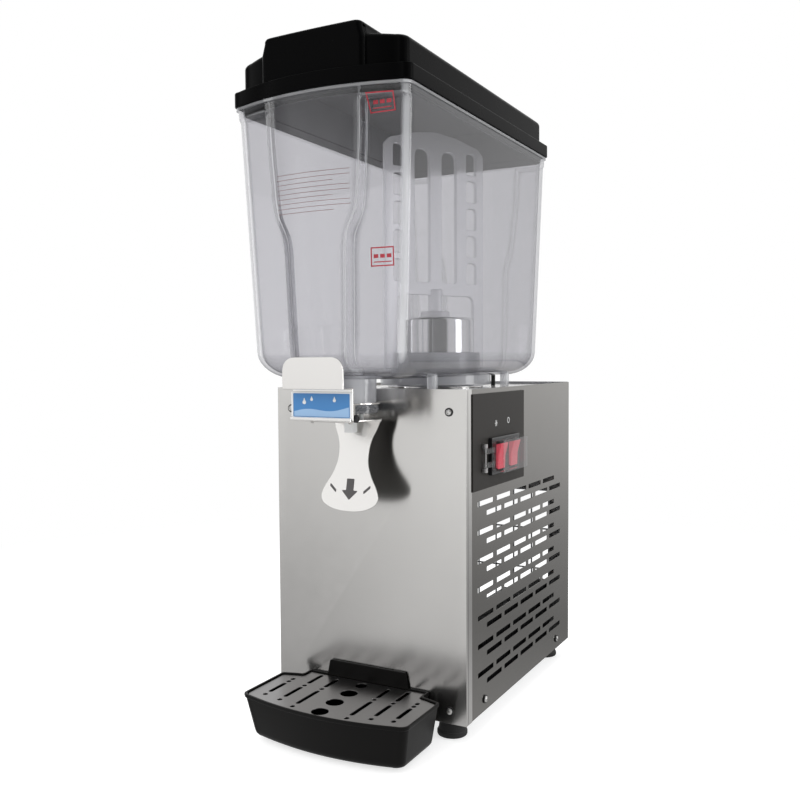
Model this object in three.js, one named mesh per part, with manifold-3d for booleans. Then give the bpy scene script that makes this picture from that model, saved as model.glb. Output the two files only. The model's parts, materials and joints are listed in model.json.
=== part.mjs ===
// Cold beverage dispenser: a chilled bowl with a stirring paddle on a steel cabinet, in millimetres, +Z up.
// Working frame: x = 0 on the middle of the cabinet, y = 0 on its front face, z = 0 on the table.
// The last group moves everything so that the origin is the middle of the footprint, on the table.
import * as THREE from "three";
import { mergeVertices } from "three/addons/utils/BufferGeometryUtils.js";
import Module from "manifold-3d";

const wasm = await Module();
wasm.setup();

// Shared clearances
const seatGap = 0.3;
const overrun = 2;

// Facets of the large round pieces
const roundSides = 24;
const bowSides = 6;
const cornerSides = 3;

// How far along its corner a bevelled edge turns
const bevelShare = 0.3;

// Cabinet
const cabinetWidth = 210;
const cabinetDepth = 300;
const cabinetHeight = 312;
const sheet = 1;
const footHeight = 18;
const footRadius = 13;
const footTopRadius = 11.2;
const footBaseRadius = 14.5;
const footBaseHeight = 5;
const footInset = 24;
const footFrontY = 20;
const frontReturn = 13;
const deckRecess = 3;
const flangeHeight = 24;

// Ventilation slots in the side panels
const slotLength = 38;
const slotHeight = 4.8;
const slotPitchY = 45.2;
const slotPitchZ = 27.3;
const slotRowDrop = 10.9;
const slotRowShift = 21.5;
const slotFirstY = 46;
const slotFirstDrop = 109.2;
const slotColumns = 5;
const slotRowPairs = 7;

// Rear opening and its wire guard
const rearHoleInset = 26;
const rearHoleBottom = 54;
const rearHoleTopDrop = 134;
const guardWire = 1.1;
const guardMargin = 3;
const guardWires = 8;

// Screws
const screwHeadRadius = 4;
const screwCrownRadius = 2.9;
const screwHeadHeight = 2.2;
const screwShankRadius = 1.9;
const screwHoleRadius = 2.3;
const screwLength = 4.4;
const screwInsetX = 17;
const screwBottomZ = 30;
const screwTopDrop = 21;
const sideScrewFrontY = 43;
const sideScrewRearInset = 46;

// Controls on the right side
const plateTopDrop = 5;
const plateBottomDrop = 96;
const plateEnd = 145;
const plateThickness = 0.8;
const bezelFront = 49;
const bezelBack = 121;
const bezelBottomDrop = 84;
const bezelTopDrop = 48;
const bezelThickness = 4;
const switchBodyDepth = 24;
const switchBodyMargin = 4;
const rockerWidth = 17.5;
const rockerHalfHeight = 13;
const rockerPitch = 33;
const rockerProud = 3.8;
const rockerDip = 2.4;
const rockerBack = 3;
const rockerTilt = 8;
const rockerPlay = 0.9;
const coverWall = 1.2;
const coverInsetY = 4;
const coverInsetZ = 2.5;
const coverReach = 14;
const hingeReach = 14.5;
const hingeOffset = 3.2;
const hingeHalf = 13.5;
const earHeight = 4;
const knuckleHeight = 5;
const strapThickness = 1.1;
const hingePinRadius = 1;
const hingeBarrelRadius = 2.2;

// Bowl: an open clear tank that overhangs the front of the cabinet
const deckToFloor = 10;
const tankHeight = 249;
const tankWall = 3;
const tankTopHalf = 90.4;
const tankBottomHalf = 79;
const tankTopCorner = 78.5;
const tankBottomCorner = 70;
const tankTopBow = 95.5;
const tankBottomBow = 85;
const tankTopBack = 259.5;
const tankBottomBack = 260;
const tankCornerRadius = 9;
const tankFloorRadius = 25;
const bowCut = 12.5;
const backStep = 3;
const frontPanelHalves = { top: 50, shoulder: 45, neck: 33, foot: 30 };
const backPanelHalves = { top: 57, shoulder: 50, neck: 42, foot: 40 };
const panelTopHeight = 218;
const panelShoulderHeight = 150;
const panelNeckHeight = 121;
const topBand = 8;
const rimHeight = 3;
const rimInset = 0.6;
const legRadius = 5;
const legX = 60;
const legFrontY = 22;
const legRearY = 205;
const bufferX = 50;
const bufferY = 196;
const skirtRadius = 61;
const skirtWall = 3;

// Cooling can, its seal and what it holds
const canY = 150;
const canRadius = 42;
const canWall = 1.2;
const canRise = 63;
const canEdge = 4;
const canFlangeRadius = 53;
const canFlange = 1.6;
const sealWidth = 3.7;
const sealHeight = 14;
const collarWall = 3;
const collarHeight = 25;
const coilRoom = 0.5;
const coilWidth = 6;
const coilBottomRise = 5;
const coilTopRise = 52;
const magnetRadius = 22;
const magnetHeight = 9;
const magnetGap = 3;
const shaftRadius = 4;
const foamHalf = 60;
const foamHeight = 40;
const foamBore = 9;
const motorRadius = 30;
const motorHeight = 46;
const motorEarLength = 78;
const motorEarWidth = 16;
const motorEarThickness = 2;

// Stirring paddle
const paddleAngle = 62;
const paddleHalf = 66;
const paddleThickness = 5.5;
const paddleTopRise = 266;
const paddleShoulderRise = 254;
const paddleFootRise = 8;
const paddleArchHalf = 52;
const paddleArchRise = 88;
const paddleBarRise = 102;
const paddleHubRadius = 16;
const paddleHubHeight = 7;
const paddleStemRadius = 8;
const paddleSlotInner = 8;
const paddleSlotOuter = 28;
const paddleSlotRise = 246;
const paddleWindowInner = 42;
const paddleWindowOuter = 56;
const paddleWindowRise = 248;
const paddleWindows = 5;
const paddleRung = 7;
const paddleArchShare = 0.45;
const paddleWindowShare = 0.25;

// Lid
const lidHalf = 92.6;
const lidCorner = 80;
const lidBow = 99;
const lidBack = 262;
const lidCornerRadius = 8;
const lidFlange = 13.5;
const lidStep = 7;
const lidTierHeight = 26.5;
const lidTierEdge = 4;
const lidCamber = 5;
const lidCamberInset = 20;
const lidCrownHalf = 50;
const lidCrownFront = 92;
const lidCrownBow = 1;
const lidCrownRadius = 5;
const lidCrownBack = 252;
const lidCrownHeight = 13;
const lidCrownEdge = 3.5;
const lidWall = 3;
const lidSeat = 9.5;
const lidLipDrop = 7;
const lidLipWall = 2;
const lidLipGap = 1;

// Tap: outlet boss, valve, nozzle and its nut
const tapY = -29;
const bossTopRadius = 24.5;
const bossBottomRadius = 24;
const bossDrop = 25.5;
const bossBore = 20;
const valveHole = 9;
const sealDisc = 2.4;
const plungerHeadRadius = 12;
const plungerHead = 3;
const plungerStem = 2.5;
const crossBarDrop = 24.5;
const crossBarHeight = 3;
const crossBarHalf = 13;
const crossBarWidth = 5;
const plungerLegWidth = 3;
const springRadius = 7;
const springWire = 0.8;
const springTurns = 5;
const springSteps = 8;
const nozzleFlange = 2.7;
const nozzleSize = 9;
const nozzleWall = 1.4;
const nozzleDrop = 50.4;
const nutRadius = 26.5;
const nutLip = 3;
const nutHeight = 8;
const nutHole = 16;
const nutPlay = 0.9;

// Bracket, sign plate and pushing lever
const bracketThickness = 1.5;
const bracketRing = 28;
const bracketHalf = 21;
const signY = -79;
const signLowDrop = 35.1;
const signHalf = 32;
const signHighDrop = 10.5;
const signThickness = 1.6;
const signBorder = 2;
const signRecess = 0.35;
const channelDrop = 37;
const channelLip = 1.6;
const channelReach = 2.2;
const tabFrontY = -92.6;
const tabLowDrop = 8.5;
const tabRise = 20;
const tabCorner = 16;
const pivotY = -62;
const pivotDrop = 35;
const earWidth = 14;
const earDrop = 7;
const pinRadius = 2;
const pinHalf = 28;
const pinCap = 3.6;
const pinCapLength = 4;
const leverThickness = 1.5;
const leverBarrelRadius = 4;
const leverBarrelHalf = 19;
const leverShelfDrop = 37.5;
const leverBendY = -16;
const leverHalf = 31;
const leverLength = 89;
const leverLean = 12;
const leverHole = 15;
const leverEdgeShares = [
  [0.84, 0],
  [0.74, 0.11],
  [0.56, 0.27],
  [0.53, 0.37],
  [0.57, 0.53],
  [0.79, 0.7],
  [0.98, 0.8],
  [1, 0.86],
  [0.87, 0.925],
  [0.58, 0.975],
];

// Drip tray, grille and runners
const trayTopHalf = 88;
const trayBottomHalf = 80;
const trayTopCorner = 85;
const trayBottomCorner = 78;
const trayTopBow = 98.5;
const trayBottomBow = 89;
const traySideBack = 20;
const trayBackInset = 38;
const trayJog = 8;
const trayBackGap = 0.8;
const trayTop = 45;
const trayBottom = 3;
const trayWall = 2.4;
const trayLedge = 2.4;
const trayCorner = 8;
const trayPlateHalf = 45.5;
const trayPlateTop = 59.5;
const trayPlateSlant = 3;
const trayPlateRoot = 7.2;
const runnerClear = 16.5;
const tongueThickness = 4;
const tongueBottom = 10;
const tongueLength = 46;
const runnerSheet = 1.5;
const runnerFoot = 8;
const runnerFront = 3;
const grilleThickness = 1.2;
const grilleDrop = 1.5;
const roundHoles = [
  { y: -85.3, radius: 8 },
  { y: -60.8, radius: 8.3 },
  { y: -36, radius: 8.3 },
  { y: -13.6, radius: 6 },
];
const dotRadius = 2.4;
const slotHalf = 2.1;
const slotEndShare = 0.7;
const grilleLines = [
  { x: 29, dots: [-86.6, -38.5], slots: [[-79.8, -43.6], [-33.3, -10]] },
  { x: 49, dots: [-78.5, -38.3], slots: [[-71, -43], [-32.5, -7]] },
  { x: 69, dots: [-74, -36.3], slots: [[-67.5, -41.5], [-32, -26.5]] },
];

// Cooling machinery inside the cabinet
const condenserThickness = 24;
const condenserFront = 46;
const condenserBackInset = 64;
const condenserHeight = 84;
const condenserFins = 11;
const finDepth = 3;
const shroudThickness = 14;
const shroudHalf = 40;
const shroudLength = 112;
const fanRadius = 34;
const fanHub = 11;
const fanY = 140;
const fanBlades = 5;
const fanBladeWidth = 16;
const fanPitch = 26;
const fanDepth = 10;
const fanRoom = 3;
const fanMotorLength = 30;
const fanMotorRadius = 16;
const bracketWire = 4;
const compressorClear = 8.2;
const compressorBackInset = 95;
const compressorRadiusShare = 0.2667;
const compressorHeight = 128;
const compressorFootHeight = 10;
const compressorSeam = 2;
const compressorShares = [
  [0.8, 0.08, 0],
  [1, 0.22, 0],
  [1, 0.44, 0],
  [1, 0.45, 1],
  [1, 0.48, 1],
  [1, 0.49, 0],
  [1, 0.72, 0],
  [0.86, 0.88, 0],
  [0.5, 0.98, 0],
];
const compressorPlateShares = { halfX: 1.05, halfY: 0.7 };
const compressorPlateThickness = 3;
const compressorFootShares = { x: 0.9, y: 0.55 };
const compressorFootRadius = 6;
const pipeRadius = 3;
const pipeRun = 13;
const pipeStartZ = 96.6;
const pipeEndInset = 18;
const pipeReach = 41;
const drierRadius = 9;
const drierLength = 80;
const drierY = 60;
const drierInset = 35;
const drierZ = 60;
const thermostatSize = 34;
const glandRadius = 9;
const glandNeckRadius = 6.3;
const glandDomeRadius = 6.7;
const glandCollar = 4;
const glandReach = 12;
const glandInset = 12;
const glandZ = 58;

// Sizes worked out from the ones above
const halfWidth = cabinetWidth / 2;
const cabinetTop = footHeight + cabinetHeight;
const deckTop = cabinetTop - deckRecess;
const innerHalf = halfWidth - sheet - seatGap;
const tankFloor = cabinetTop + deckToFloor;
const rimTop = tankFloor + tankHeight;
const lidBase = rimTop + seatGap;
const lidTierTop = lidBase + lidFlange + lidTierHeight;
const canTop = tankFloor + canRise;
const coilBottom = tankFloor + coilBottomRise;
const coilTop = tankFloor + coilTopRise;
const paddleTop = tankFloor + paddleTopRise;
const paddleShoulder = tankFloor + paddleShoulderRise;
const paddleFoot = tankFloor + paddleFootRise;
const paddleArchTop = tankFloor + paddleArchRise;
const paddleBarTop = tankFloor + paddleBarRise;
const paddleSlotTop = tankFloor + paddleSlotRise;
const paddleWindowTop = tankFloor + paddleWindowRise;
const bossBottom = tankFloor - bossDrop;
const crossBarBottom = tankFloor - crossBarDrop;
const nozzleBottom = tankFloor - nozzleDrop;
const signLow = tankFloor - signLowDrop;
const signHigh = tankFloor - signHighDrop;
const channelLow = tankFloor - channelDrop;
const tabLow = tankFloor - tabLowDrop;
const pivotZ = tankFloor - pivotDrop;
const leverShelfTop = tankFloor - leverShelfDrop;
const tabTop = tankFloor + tabRise;
const screwTopZ = cabinetTop - screwTopDrop;
const plateTop = cabinetTop - plateTopDrop;
const plateBottom = cabinetTop - plateBottomDrop;
const bezelBottom = cabinetTop - bezelBottomDrop;
const bezelTop = cabinetTop - bezelTopDrop;
const slotFirstZ = cabinetTop - slotFirstDrop;
const rearHoleTop = cabinetTop - rearHoleTopDrop;
const sideScrewRearY = cabinetDepth - sideScrewRearInset;
const condenserBack = cabinetDepth - condenserBackInset;
const compressorY = cabinetDepth - compressorBackInset;
const compressorRadius = Math.round(cabinetWidth * compressorRadiusShare);
const compressorX = compressorRadius * compressorPlateShares.halfX + compressorClear - halfWidth;
const glandX = glandInset - halfWidth;
const rearHoleHalfWidth = halfWidth - rearHoleInset;
const trayBackHalf = halfWidth - trayBackInset;
const tongueHalf = halfWidth - footInset - footBaseRadius - runnerClear;
const drierX = drierInset - halfWidth;
const pipeEndX = pipeEndInset - foamHalf;
const pipeEndY = compressorY - compressorRadius - pipeReach;
const collarBore = canRadius + sealWidth + 2 * seatGap;
const panFloor = footHeight + 1.5 * sheet;
const bezelX = halfWidth + seatGap + plateThickness + seatGap;
const coverTopX = bezelX + coverReach;
const rockerPivotX = bezelX + bezelThickness;
const switchZ = (bezelTop + bezelBottom) / 2;
const switchY = (bezelFront + bezelBack) / 2;

// Finishes: colour, roughness and metalness as the photograph shows them
const finishes = {
  brushed: [0xc9c9c7, 0.35, 1],
  darkSteel: [0x6f6f6c, 0.4, 1],
  polished: [0xd8d8d8, 0.15, 1],
  zinc: [0x9a9c9e, 0.5, 0.9],
  blackPlastic: [0x17181a, 0.5, 0],
  glossBlack: [0x0e0f12, 0.18, 0],
  rubber: [0x121212, 0.85, 0],
  clear: [0xdfe6ea, 0.08, 0],
  white: [0xe8ebec, 0.4, 0],
  red: [0xd01f2c, 0.25, 0],
  blue: [0x2f6fc0, 0.45, 0],
  foam: [0xd9cfae, 0.9, 0],
  copper: [0xb4693c, 0.3, 1],
  blackPaint: [0x1a1b1c, 0.45, 0.2],
  silicone: [0xd7d9da, 0.6, 0],
};

// A three.js geometry as a manifold solid.
function solid(geometry) {
  const bare = geometry.clone();
  bare.deleteAttribute("normal");
  bare.deleteAttribute("uv");
  const merged = mergeVertices(bare, 1e-4);
  const closed = (triVerts) =>
    new wasm.Manifold(
      new wasm.Mesh({ numProp: 3, vertProperties: merged.attributes.position.array, triVerts })
    );
  const triangles = new Uint32Array(merged.index.array);
  const body = closed(triangles);
  return body.volume() > 0 ? body : closed(triangles.slice().reverse());
}

// A manifold solid as a three.js geometry.
function geometryOf(body) {
  const mesh = body.getMesh();
  const geometry = new THREE.BufferGeometry();
  geometry.setAttribute("position", new THREE.BufferAttribute(mesh.vertProperties, 3));
  geometry.setIndex(new THREE.BufferAttribute(mesh.triVerts, 1));
  return geometry;
}

function named(name, body, finish) {
  const [color, roughness, metalness] = finishes[finish];
  const material = new THREE.MeshStandardMaterial({ color, roughness, metalness, flatShading: true });
  const geometry = body.isBufferGeometry ? body : geometryOf(body);
  const mesh = new THREE.Mesh(geometry, material);
  mesh.name = name;
  return mesh;
}

function united(bodies) {
  return bodies.reduce((sum, body) => sum.add(body));
}

function box(x0, x1, y0, y1, z0, z1) {
  const geometry = new THREE.BoxGeometry(x1 - x0, y1 - y0, z1 - z0);
  geometry.translate((x0 + x1) / 2, (y0 + y1) / 2, (z0 + z1) / 2);
  return solid(geometry);
}

// A drum standing on z0 at (x, y).
function drum(x, y, radius, z0, z1, sides = 24) {
  const geometry = new THREE.CylinderGeometry(radius, radius, z1 - z0, sides);
  geometry.rotateX(Math.PI / 2);
  geometry.translate(x, y, (z0 + z1) / 2);
  return solid(geometry);
}

// A drum along x or y, from a to b, through the two other coordinates.
function drumX(a, b, y, z, radius, sides = 16) {
  const geometry = new THREE.CylinderGeometry(radius, radius, b - a, sides);
  geometry.rotateZ(Math.PI / 2);
  geometry.translate((a + b) / 2, y, z);
  return solid(geometry);
}

function drumY(a, b, x, z, radius, sides = 16) {
  const geometry = new THREE.CylinderGeometry(radius, radius, b - a, sides);
  geometry.translate(x, (a + b) / 2, z);
  return solid(geometry);
}

// A turned form from [radius, height] pairs that start and end on the axis or close on themselves.
function turned(pairs, sides = 24) {
  const points = pairs.map(([radius, height]) => new THREE.Vector2(radius, height));
  const geometry = new THREE.LatheGeometry(points, sides);
  geometry.rotateX(Math.PI / 2);
  return solid(geometry);
}

function ring(inner, outer, z0, z1, sides = 24) {
  return turned(
    [
      [inner, z0],
      [outer, z0],
      [outer, z1],
      [inner, z1],
      [inner, z0],
    ],
    sides,
  );
}

// A prism of a flat outline of [a, b] pairs: upright, or lying along x or y.
function prism(outline, low, high) {
  const shape = new THREE.Shape(outline.map(([a, b]) => new THREE.Vector2(a, b)));
  const geometry = new THREE.ExtrudeGeometry(shape, { depth: high - low, bevelEnabled: false });
  geometry.translate(0, 0, low);
  return geometry;
}

function prismZ(outline, low, high) {
  return solid(prism(outline, low, high));
}

// Outline pairs are [x, z]; the prism runs from y = low to y = high.
function prismY(outline, low, high) {
  const geometry = prism(outline, -high, -low);
  geometry.rotateX(Math.PI / 2);
  return solid(geometry);
}

// Outline pairs are [y, z]; the prism runs from x = low to x = high.
function prismX(outline, low, high) {
  const geometry = prism(outline, low, high);
  geometry.rotateY(Math.PI / 2);
  geometry.rotateX(Math.PI / 2);
  return solid(geometry);
}

// Joins rings of [x, y, z] points, all of one count and running anticlockwise from above, low to high.
function loft(rings) {
  const count = rings[0].length;
  const indices = [];
  for (let level = 0; level < rings.length - 1; level += 1) {
    for (let i = 0; i < count; i += 1) {
      const a = level * count + i;
      const b = level * count + ((i + 1) % count);
      indices.push(a, b, b + count, a, b + count, a + count);
    }
  }
  const flat = rings[0].map(([x, y]) => new THREE.Vector2(x, y));
  const lastStart = (rings.length - 1) * count;
  for (const [a, b, c] of THREE.ShapeUtils.triangulateShape(flat, [])) {
    indices.push(a, c, b);
  }
  const flatTop = rings[rings.length - 1].map(([x, y]) => new THREE.Vector2(x, y));
  for (const [a, b, c] of THREE.ShapeUtils.triangulateShape(flatTop, [])) {
    indices.push(lastStart + a, lastStart + b, lastStart + c);
  }
  const geometry = new THREE.BufferGeometry();
  geometry.setAttribute("position", new THREE.Float32BufferAttribute(rings.flat(2), 3));
  geometry.setIndex(indices);
  return solid(geometry);
}

// Points of a quarter arc round (x, y), anticlockwise from the angle start.
function quarter(x, y, radius, start, steps) {
  const points = [];
  for (let i = 0; i <= steps; i += 1) {
    const angle = start + ((Math.PI / 2) * i) / steps;
    points.push([x + radius * Math.cos(angle), y + radius * Math.sin(angle)]);
  }
  return points;
}

// Plan outline with a front that bows out, as positive reaches to the front and the back.
function planOutline({ half, corner, bow, back, radius }, inset = 0, cut = 0, step = 0) {
  const w = half - inset;
  const rise = bow - corner - cut;
  const span = w - radius;
  const frontAt = (x) => -(corner + rise * (1 - (x / w) ** 2) - inset);
  const cornerY = frontAt(span) + radius;
  const backY = back - inset - step - radius;
  const points = [];
  for (let i = 0; i < bowSides; i += 1) {
    const x = -span + (2 * span * i) / bowSides;
    points.push([x, frontAt(x)]);
  }
  points.push(...quarter(span, cornerY, radius, -Math.PI / 2, cornerSides));
  points.push(...quarter(span, backY, radius, 0, cornerSides));
  points.push(...quarter(-span, backY, radius, Math.PI / 2, cornerSides));
  points.push(...quarter(-span, cornerY, radius, Math.PI, cornerSides).slice(0, -1));
  return points;
}

function atHeight(outline, z) {
  return outline.map(([x, y]) => [x, y, z]);
}

// The bowl's plan at a height, from its floor to its rim.
function tankPlan(z) {
  const t = (z - tankFloor) / tankHeight;
  const between = (low, high) => low + (high - low) * t;
  return {
    half: between(tankBottomHalf, tankTopHalf),
    corner: between(tankBottomCorner, tankTopCorner),
    bow: between(tankBottomBow, tankTopBow),
    back: between(tankBottomBack, tankTopBack),
    radius: tankCornerRadius,
  };
}

// The bowl's form, drawn in by a wall and, at front and back, by the depth of its corner columns.
function tankForm(wall, cut, step, top) {
  const rings = [];
  const radius = tankFloorRadius - wall;
  const low = tankFloor + wall;
  for (const degrees of [0, 30, 60, 90]) {
    const angle = THREE.MathUtils.degToRad(degrees);
    const z = low + radius * (1 - Math.cos(angle));
    const inset = wall + radius * (1 - Math.sin(angle));
    rings.push(atHeight(planOutline(tankPlan(z), inset, cut, step), z));
  }
  rings.push(atHeight(planOutline(tankPlan(top), wall, cut, step), top));
  return loft(rings);
}

// Front view of a proud middle panel: narrow below, a slanted neck, wide above.
function panelView(halves, wall, top) {
  const right = [
    [halves.foot - wall, tankFloor - overrun],
    [halves.neck - wall, tankFloor + panelNeckHeight],
    [halves.shoulder - wall, tankFloor + panelShoulderHeight],
    [halves.top - wall, tankFloor + panelTopHeight],
    [halves.top - wall, top],
  ];
  const left = right.map(([x, z]) => [-x, z]).reverse();
  return [...right, ...left];
}

function tankShell(wall, top) {
  const reach = lidBow + overrun;
  const front = prismY(panelView(frontPanelHalves, wall, top), -reach, tapY);
  const back = prismY(panelView(backPanelHalves, wall, top), canY, lidBack + overrun);
  const bandLow = rimTop - topBand - rimHeight + wall;
  const band = box(-lidHalf, lidHalf, -reach, lidBack + overrun, bandLow, top + overrun);
  const proud = tankForm(wall, 0, 0, top).intersect(united([front, back, band]));
  return tankForm(wall, bowCut, backStep, top).add(proud);
}

function makeTank() {
  const rimPlan = {
    half: lidHalf - rimInset,
    corner: lidCorner - rimInset,
    bow: lidBow - rimInset,
    back: lidBack - rimInset,
    radius: lidCornerRadius,
  };
  const rim = planOutline(rimPlan);
  const bossPoints = [
    [0, bossBottom],
    [bossBottomRadius, bossBottom],
    [bossTopRadius, tankFloor + tankWall],
    [0, tankFloor + tankWall],
  ];
  const boss = turned(bossPoints, roundSides).translate(0, tapY, 0);
  const additions = [
    loft([atHeight(rim, rimTop - rimHeight), atHeight(rim, rimTop)]),
    drum(0, canY, skirtRadius, cabinetTop, tankFloor + tankWall, roundSides),
    boss,
  ];
  for (const x of [-legX, legX]) {
    for (const y of [legFrontY, legRearY]) {
      additions.push(drum(x, y, legRadius, deckTop + seatGap, tankFloor + 2 * tankWall, 8));
    }
  }
  const skirtBore = skirtRadius - skirtWall;
  const collarLow = cabinetTop + overrun;
  const skirtRoom = drum(0, canY, skirtBore, cabinetTop - overrun, tankFloor, roundSides);
  const cavity = tankShell(tankWall, rimTop + overrun);
  const collar = ring(
    collarBore,
    collarBore + collarWall,
    collarLow,
    tankFloor + collarHeight,
    roundSides,
  );
  return united([tankShell(0, rimTop), ...additions])
    .subtract(cavity)
    .subtract(skirtRoom)
    .add(collar.translate(0, canY, 0))
    .subtract(
      drum(0, canY, collarBore, collarLow - overrun, tankFloor + collarHeight + overrun, roundSides)
    )
    .subtract(drum(0, tapY, bossBore, bossBottom - overrun, tankFloor, roundSides))
    .subtract(drum(0, tapY, valveHole, tankFloor - overrun, tankFloor + tankWall + overrun, 16));
}

// Lid: a flange, a stepped tier with a rounded edge, and a crown that runs front to back.
function makeLid() {
  const plan = {
    half: lidHalf,
    corner: lidCorner,
    bow: lidBow,
    back: lidBack,
    radius: lidCornerRadius,
  };
  const flangeTop = lidBase + lidFlange;
  const flange = loft([atHeight(planOutline(plan), lidBase), atHeight(planOutline(plan), flangeTop)]);
  const tierSide = planOutline(plan, lidStep);
  const tier = loft([
    atHeight(tierSide, lidBase),
    atHeight(tierSide, lidTierTop - lidTierEdge),
    atHeight(
      planOutline(plan, lidStep + lidTierEdge * bevelShare),
      lidTierTop - lidTierEdge * bevelShare,
    ),
    atHeight(planOutline(plan, lidStep + lidTierEdge), lidTierTop),
    atHeight(planOutline(plan, lidStep + lidCamberInset), lidTierTop + lidCamber),
  ]);
  const crownPlan = {
    half: lidCrownHalf,
    corner: lidCrownFront - lidCrownBow,
    bow: lidCrownFront,
    back: lidCrownBack,
    radius: lidCrownRadius,
  };
  const crownTop = lidTierTop + lidCrownHeight;
  const crown = loft([
    atHeight(planOutline(crownPlan), flangeTop),
    atHeight(planOutline(crownPlan), crownTop - lidCrownEdge),
    atHeight(planOutline(crownPlan, lidCrownEdge * bevelShare), crownTop - lidCrownEdge * bevelShare),
    atHeight(planOutline(crownPlan, lidCrownEdge), crownTop),
  ]);
  const hollow = planOutline(plan, lidSeat);
  const crownHollow = planOutline(crownPlan, lidWall);
  const cavity = loft([atHeight(hollow, lidBase - overrun), atHeight(hollow, lidTierTop - lidWall)]);
  const crownCavity = loft(
    [atHeight(crownHollow, lidTierTop - lidTierHeight), atHeight(crownHollow, crownTop - lidWall)]
  );
  const lipPlan = tankPlan(rimTop);
  const lipOuter = planOutline(lipPlan, tankWall + lidLipGap);
  const lipInner = planOutline(lipPlan, tankWall + lidLipGap + lidLipWall);
  const lipLow = lidBase - lidLipDrop;
  const lip = loft([atHeight(lipOuter, lipLow), atHeight(lipOuter, lidBase + lidWall)]).subtract(
    loft([atHeight(lipInner, lipLow - overrun), atHeight(lipInner, lidBase + lidWall + overrun)]),
  );
  return united([flange, tier, crown]).subtract(cavity).subtract(crownCavity).add(lip);
}

// Front view of the paddle: a frame with arched slots, side ladders and two legs that straddle the can.
function makePaddle() {
  const outline = [
    [paddleHalf, paddleFoot],
    [paddleHalf, paddleShoulder - paddleRung],
    [paddleHalf - paddleRung, paddleShoulder],
    [paddleSlotOuter, paddleTop - paddleRung / 2],
    [0, paddleTop],
  ];
  const mirrored = outline.slice(0, -1).map(([s, z]) => [-s, z]).reverse();
  const half = paddleThickness / 2;
  let paddle = prismY([...outline, ...mirrored], -half, half);
  paddle = paddle.subtract(
    prismY(
      archView(-paddleArchHalf, paddleArchHalf, paddleFoot, paddleArchTop, paddleStemRadius),
      -half - overrun,
      half + overrun,
    )
  );
  for (const side of [-1, 1]) {
    const slotA = Math.min(side * paddleSlotInner, side * paddleSlotOuter);
    const slotB = Math.max(side * paddleSlotInner, side * paddleSlotOuter);
    const slot = archView(slotA, slotB, paddleBarTop, paddleSlotTop, (slotB - slotA) * paddleArchShare);
    paddle = paddle.subtract(prismY(slot, -half - overrun, half + overrun));
    const step = (paddleWindowTop - paddleBarTop + paddleRung) / paddleWindows;
    for (let i = 0; i < paddleWindows; i += 1) {
      const low = paddleBarTop + i * step;
      const a = Math.min(side * paddleWindowInner, side * paddleWindowOuter);
      const b = Math.max(side * paddleWindowInner, side * paddleWindowOuter);
      const window = archView(a, b, low, low + step - paddleRung, (b - a) * paddleWindowShare);
      paddle = paddle.subtract(prismY(window, -half - overrun, half + overrun));
    }
  }
  const hubLow = canTop + seatGap;
  const hub = drum(0, 0, paddleHubRadius, hubLow, hubLow + paddleHubHeight, 20);
  const stem = drum(0, 0, paddleStemRadius, hubLow, paddleArchTop + paddleRung, 12);
  return united([paddle, hub, stem]);
}

// A window with two cut top corners, from a to b and low to high.
function archView(a, b, low, high, corner) {
  return [
    [a, low],
    [b, low],
    [b, high - corner],
    [b - corner * bevelShare, high - corner * bevelShare],
    [b - corner, high],
    [a + corner, high],
    [a + corner * bevelShare, high - corner * bevelShare],
    [a, high - corner],
  ];
}

function makeCan() {
  const low = deckTop + seatGap;
  return turned(
    [
      [canRadius - canWall, low],
      [canFlangeRadius, low],
      [canFlangeRadius, low + canFlange],
      [canRadius, low + canFlange],
      [canRadius, canTop - canEdge],
      [canRadius - canEdge * bevelShare, canTop - canEdge * bevelShare],
      [canRadius - canEdge, canTop],
      [0, canTop],
      [0, canTop - canWall],
      [canRadius - canEdge, canTop - canWall],
      [canRadius - canWall, canTop - canEdge],
      [canRadius - canWall, low],
    ],
    roundSides,
  );
}

function makeMagnetDrive() {
  const top = canTop - canWall - magnetGap;
  const shaftLow = deckTop - sheet - seatGap - foamHeight;
  const disc = drum(0, 0, magnetRadius, top - magnetHeight, top, 20);
  return disc.add(drum(0, 0, shaftRadius, shaftLow, top, 10));
}

function makeMotor() {
  const top = deckTop - sheet - seatGap - foamHeight - seatGap;
  const can = drum(0, 0, motorRadius, top - motorHeight, top - motorEarThickness, 20);
  const ear = box(
    -motorEarLength / 2,
    motorEarLength / 2,
    -motorEarWidth / 2,
    motorEarWidth / 2,
    top - motorEarThickness * 2,
    top,
  );
  return can.add(ear);
}

function makeFoam() {
  const top = deckTop - sheet - seatGap;
  const block = box(-foamHalf, foamHalf, -foamHalf, foamHalf, top - foamHeight, top);
  return block.subtract(drum(0, 0, foamBore, top - foamHeight - overrun, top + overrun, 16));
}

function makeTopDeck() {
  const back = cabinetDepth - sheet - seatGap;
  const front = sheet + seatGap;
  const low = deckTop - flangeHeight;
  const outer = box(-innerHalf, innerHalf, front, back, low, deckTop);
  const room = box(
    -innerHalf + sheet,
    innerHalf - sheet,
    front + sheet,
    back - sheet,
    low - overrun,
    deckTop - sheet,
  );
  const shaftHole = drum(0, canY, foamBore, deckTop - overrun - sheet, deckTop + overrun, 16);
  return screwHoles(outer.subtract(room).subtract(shaftHole));
}

function makeBasePan() {
  const back = cabinetDepth - sheet - seatGap;
  const front = sheet + seatGap;
  const outer = box(-innerHalf, innerHalf, front, back, footHeight, footHeight + flangeHeight);
  const floor = panFloor;
  const room = box(
    -innerHalf + sheet,
    innerHalf - sheet,
    front + sheet,
    back - sheet,
    floor,
    floor + flangeHeight,
  );
  return screwHoles(outer.subtract(room));
}

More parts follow.
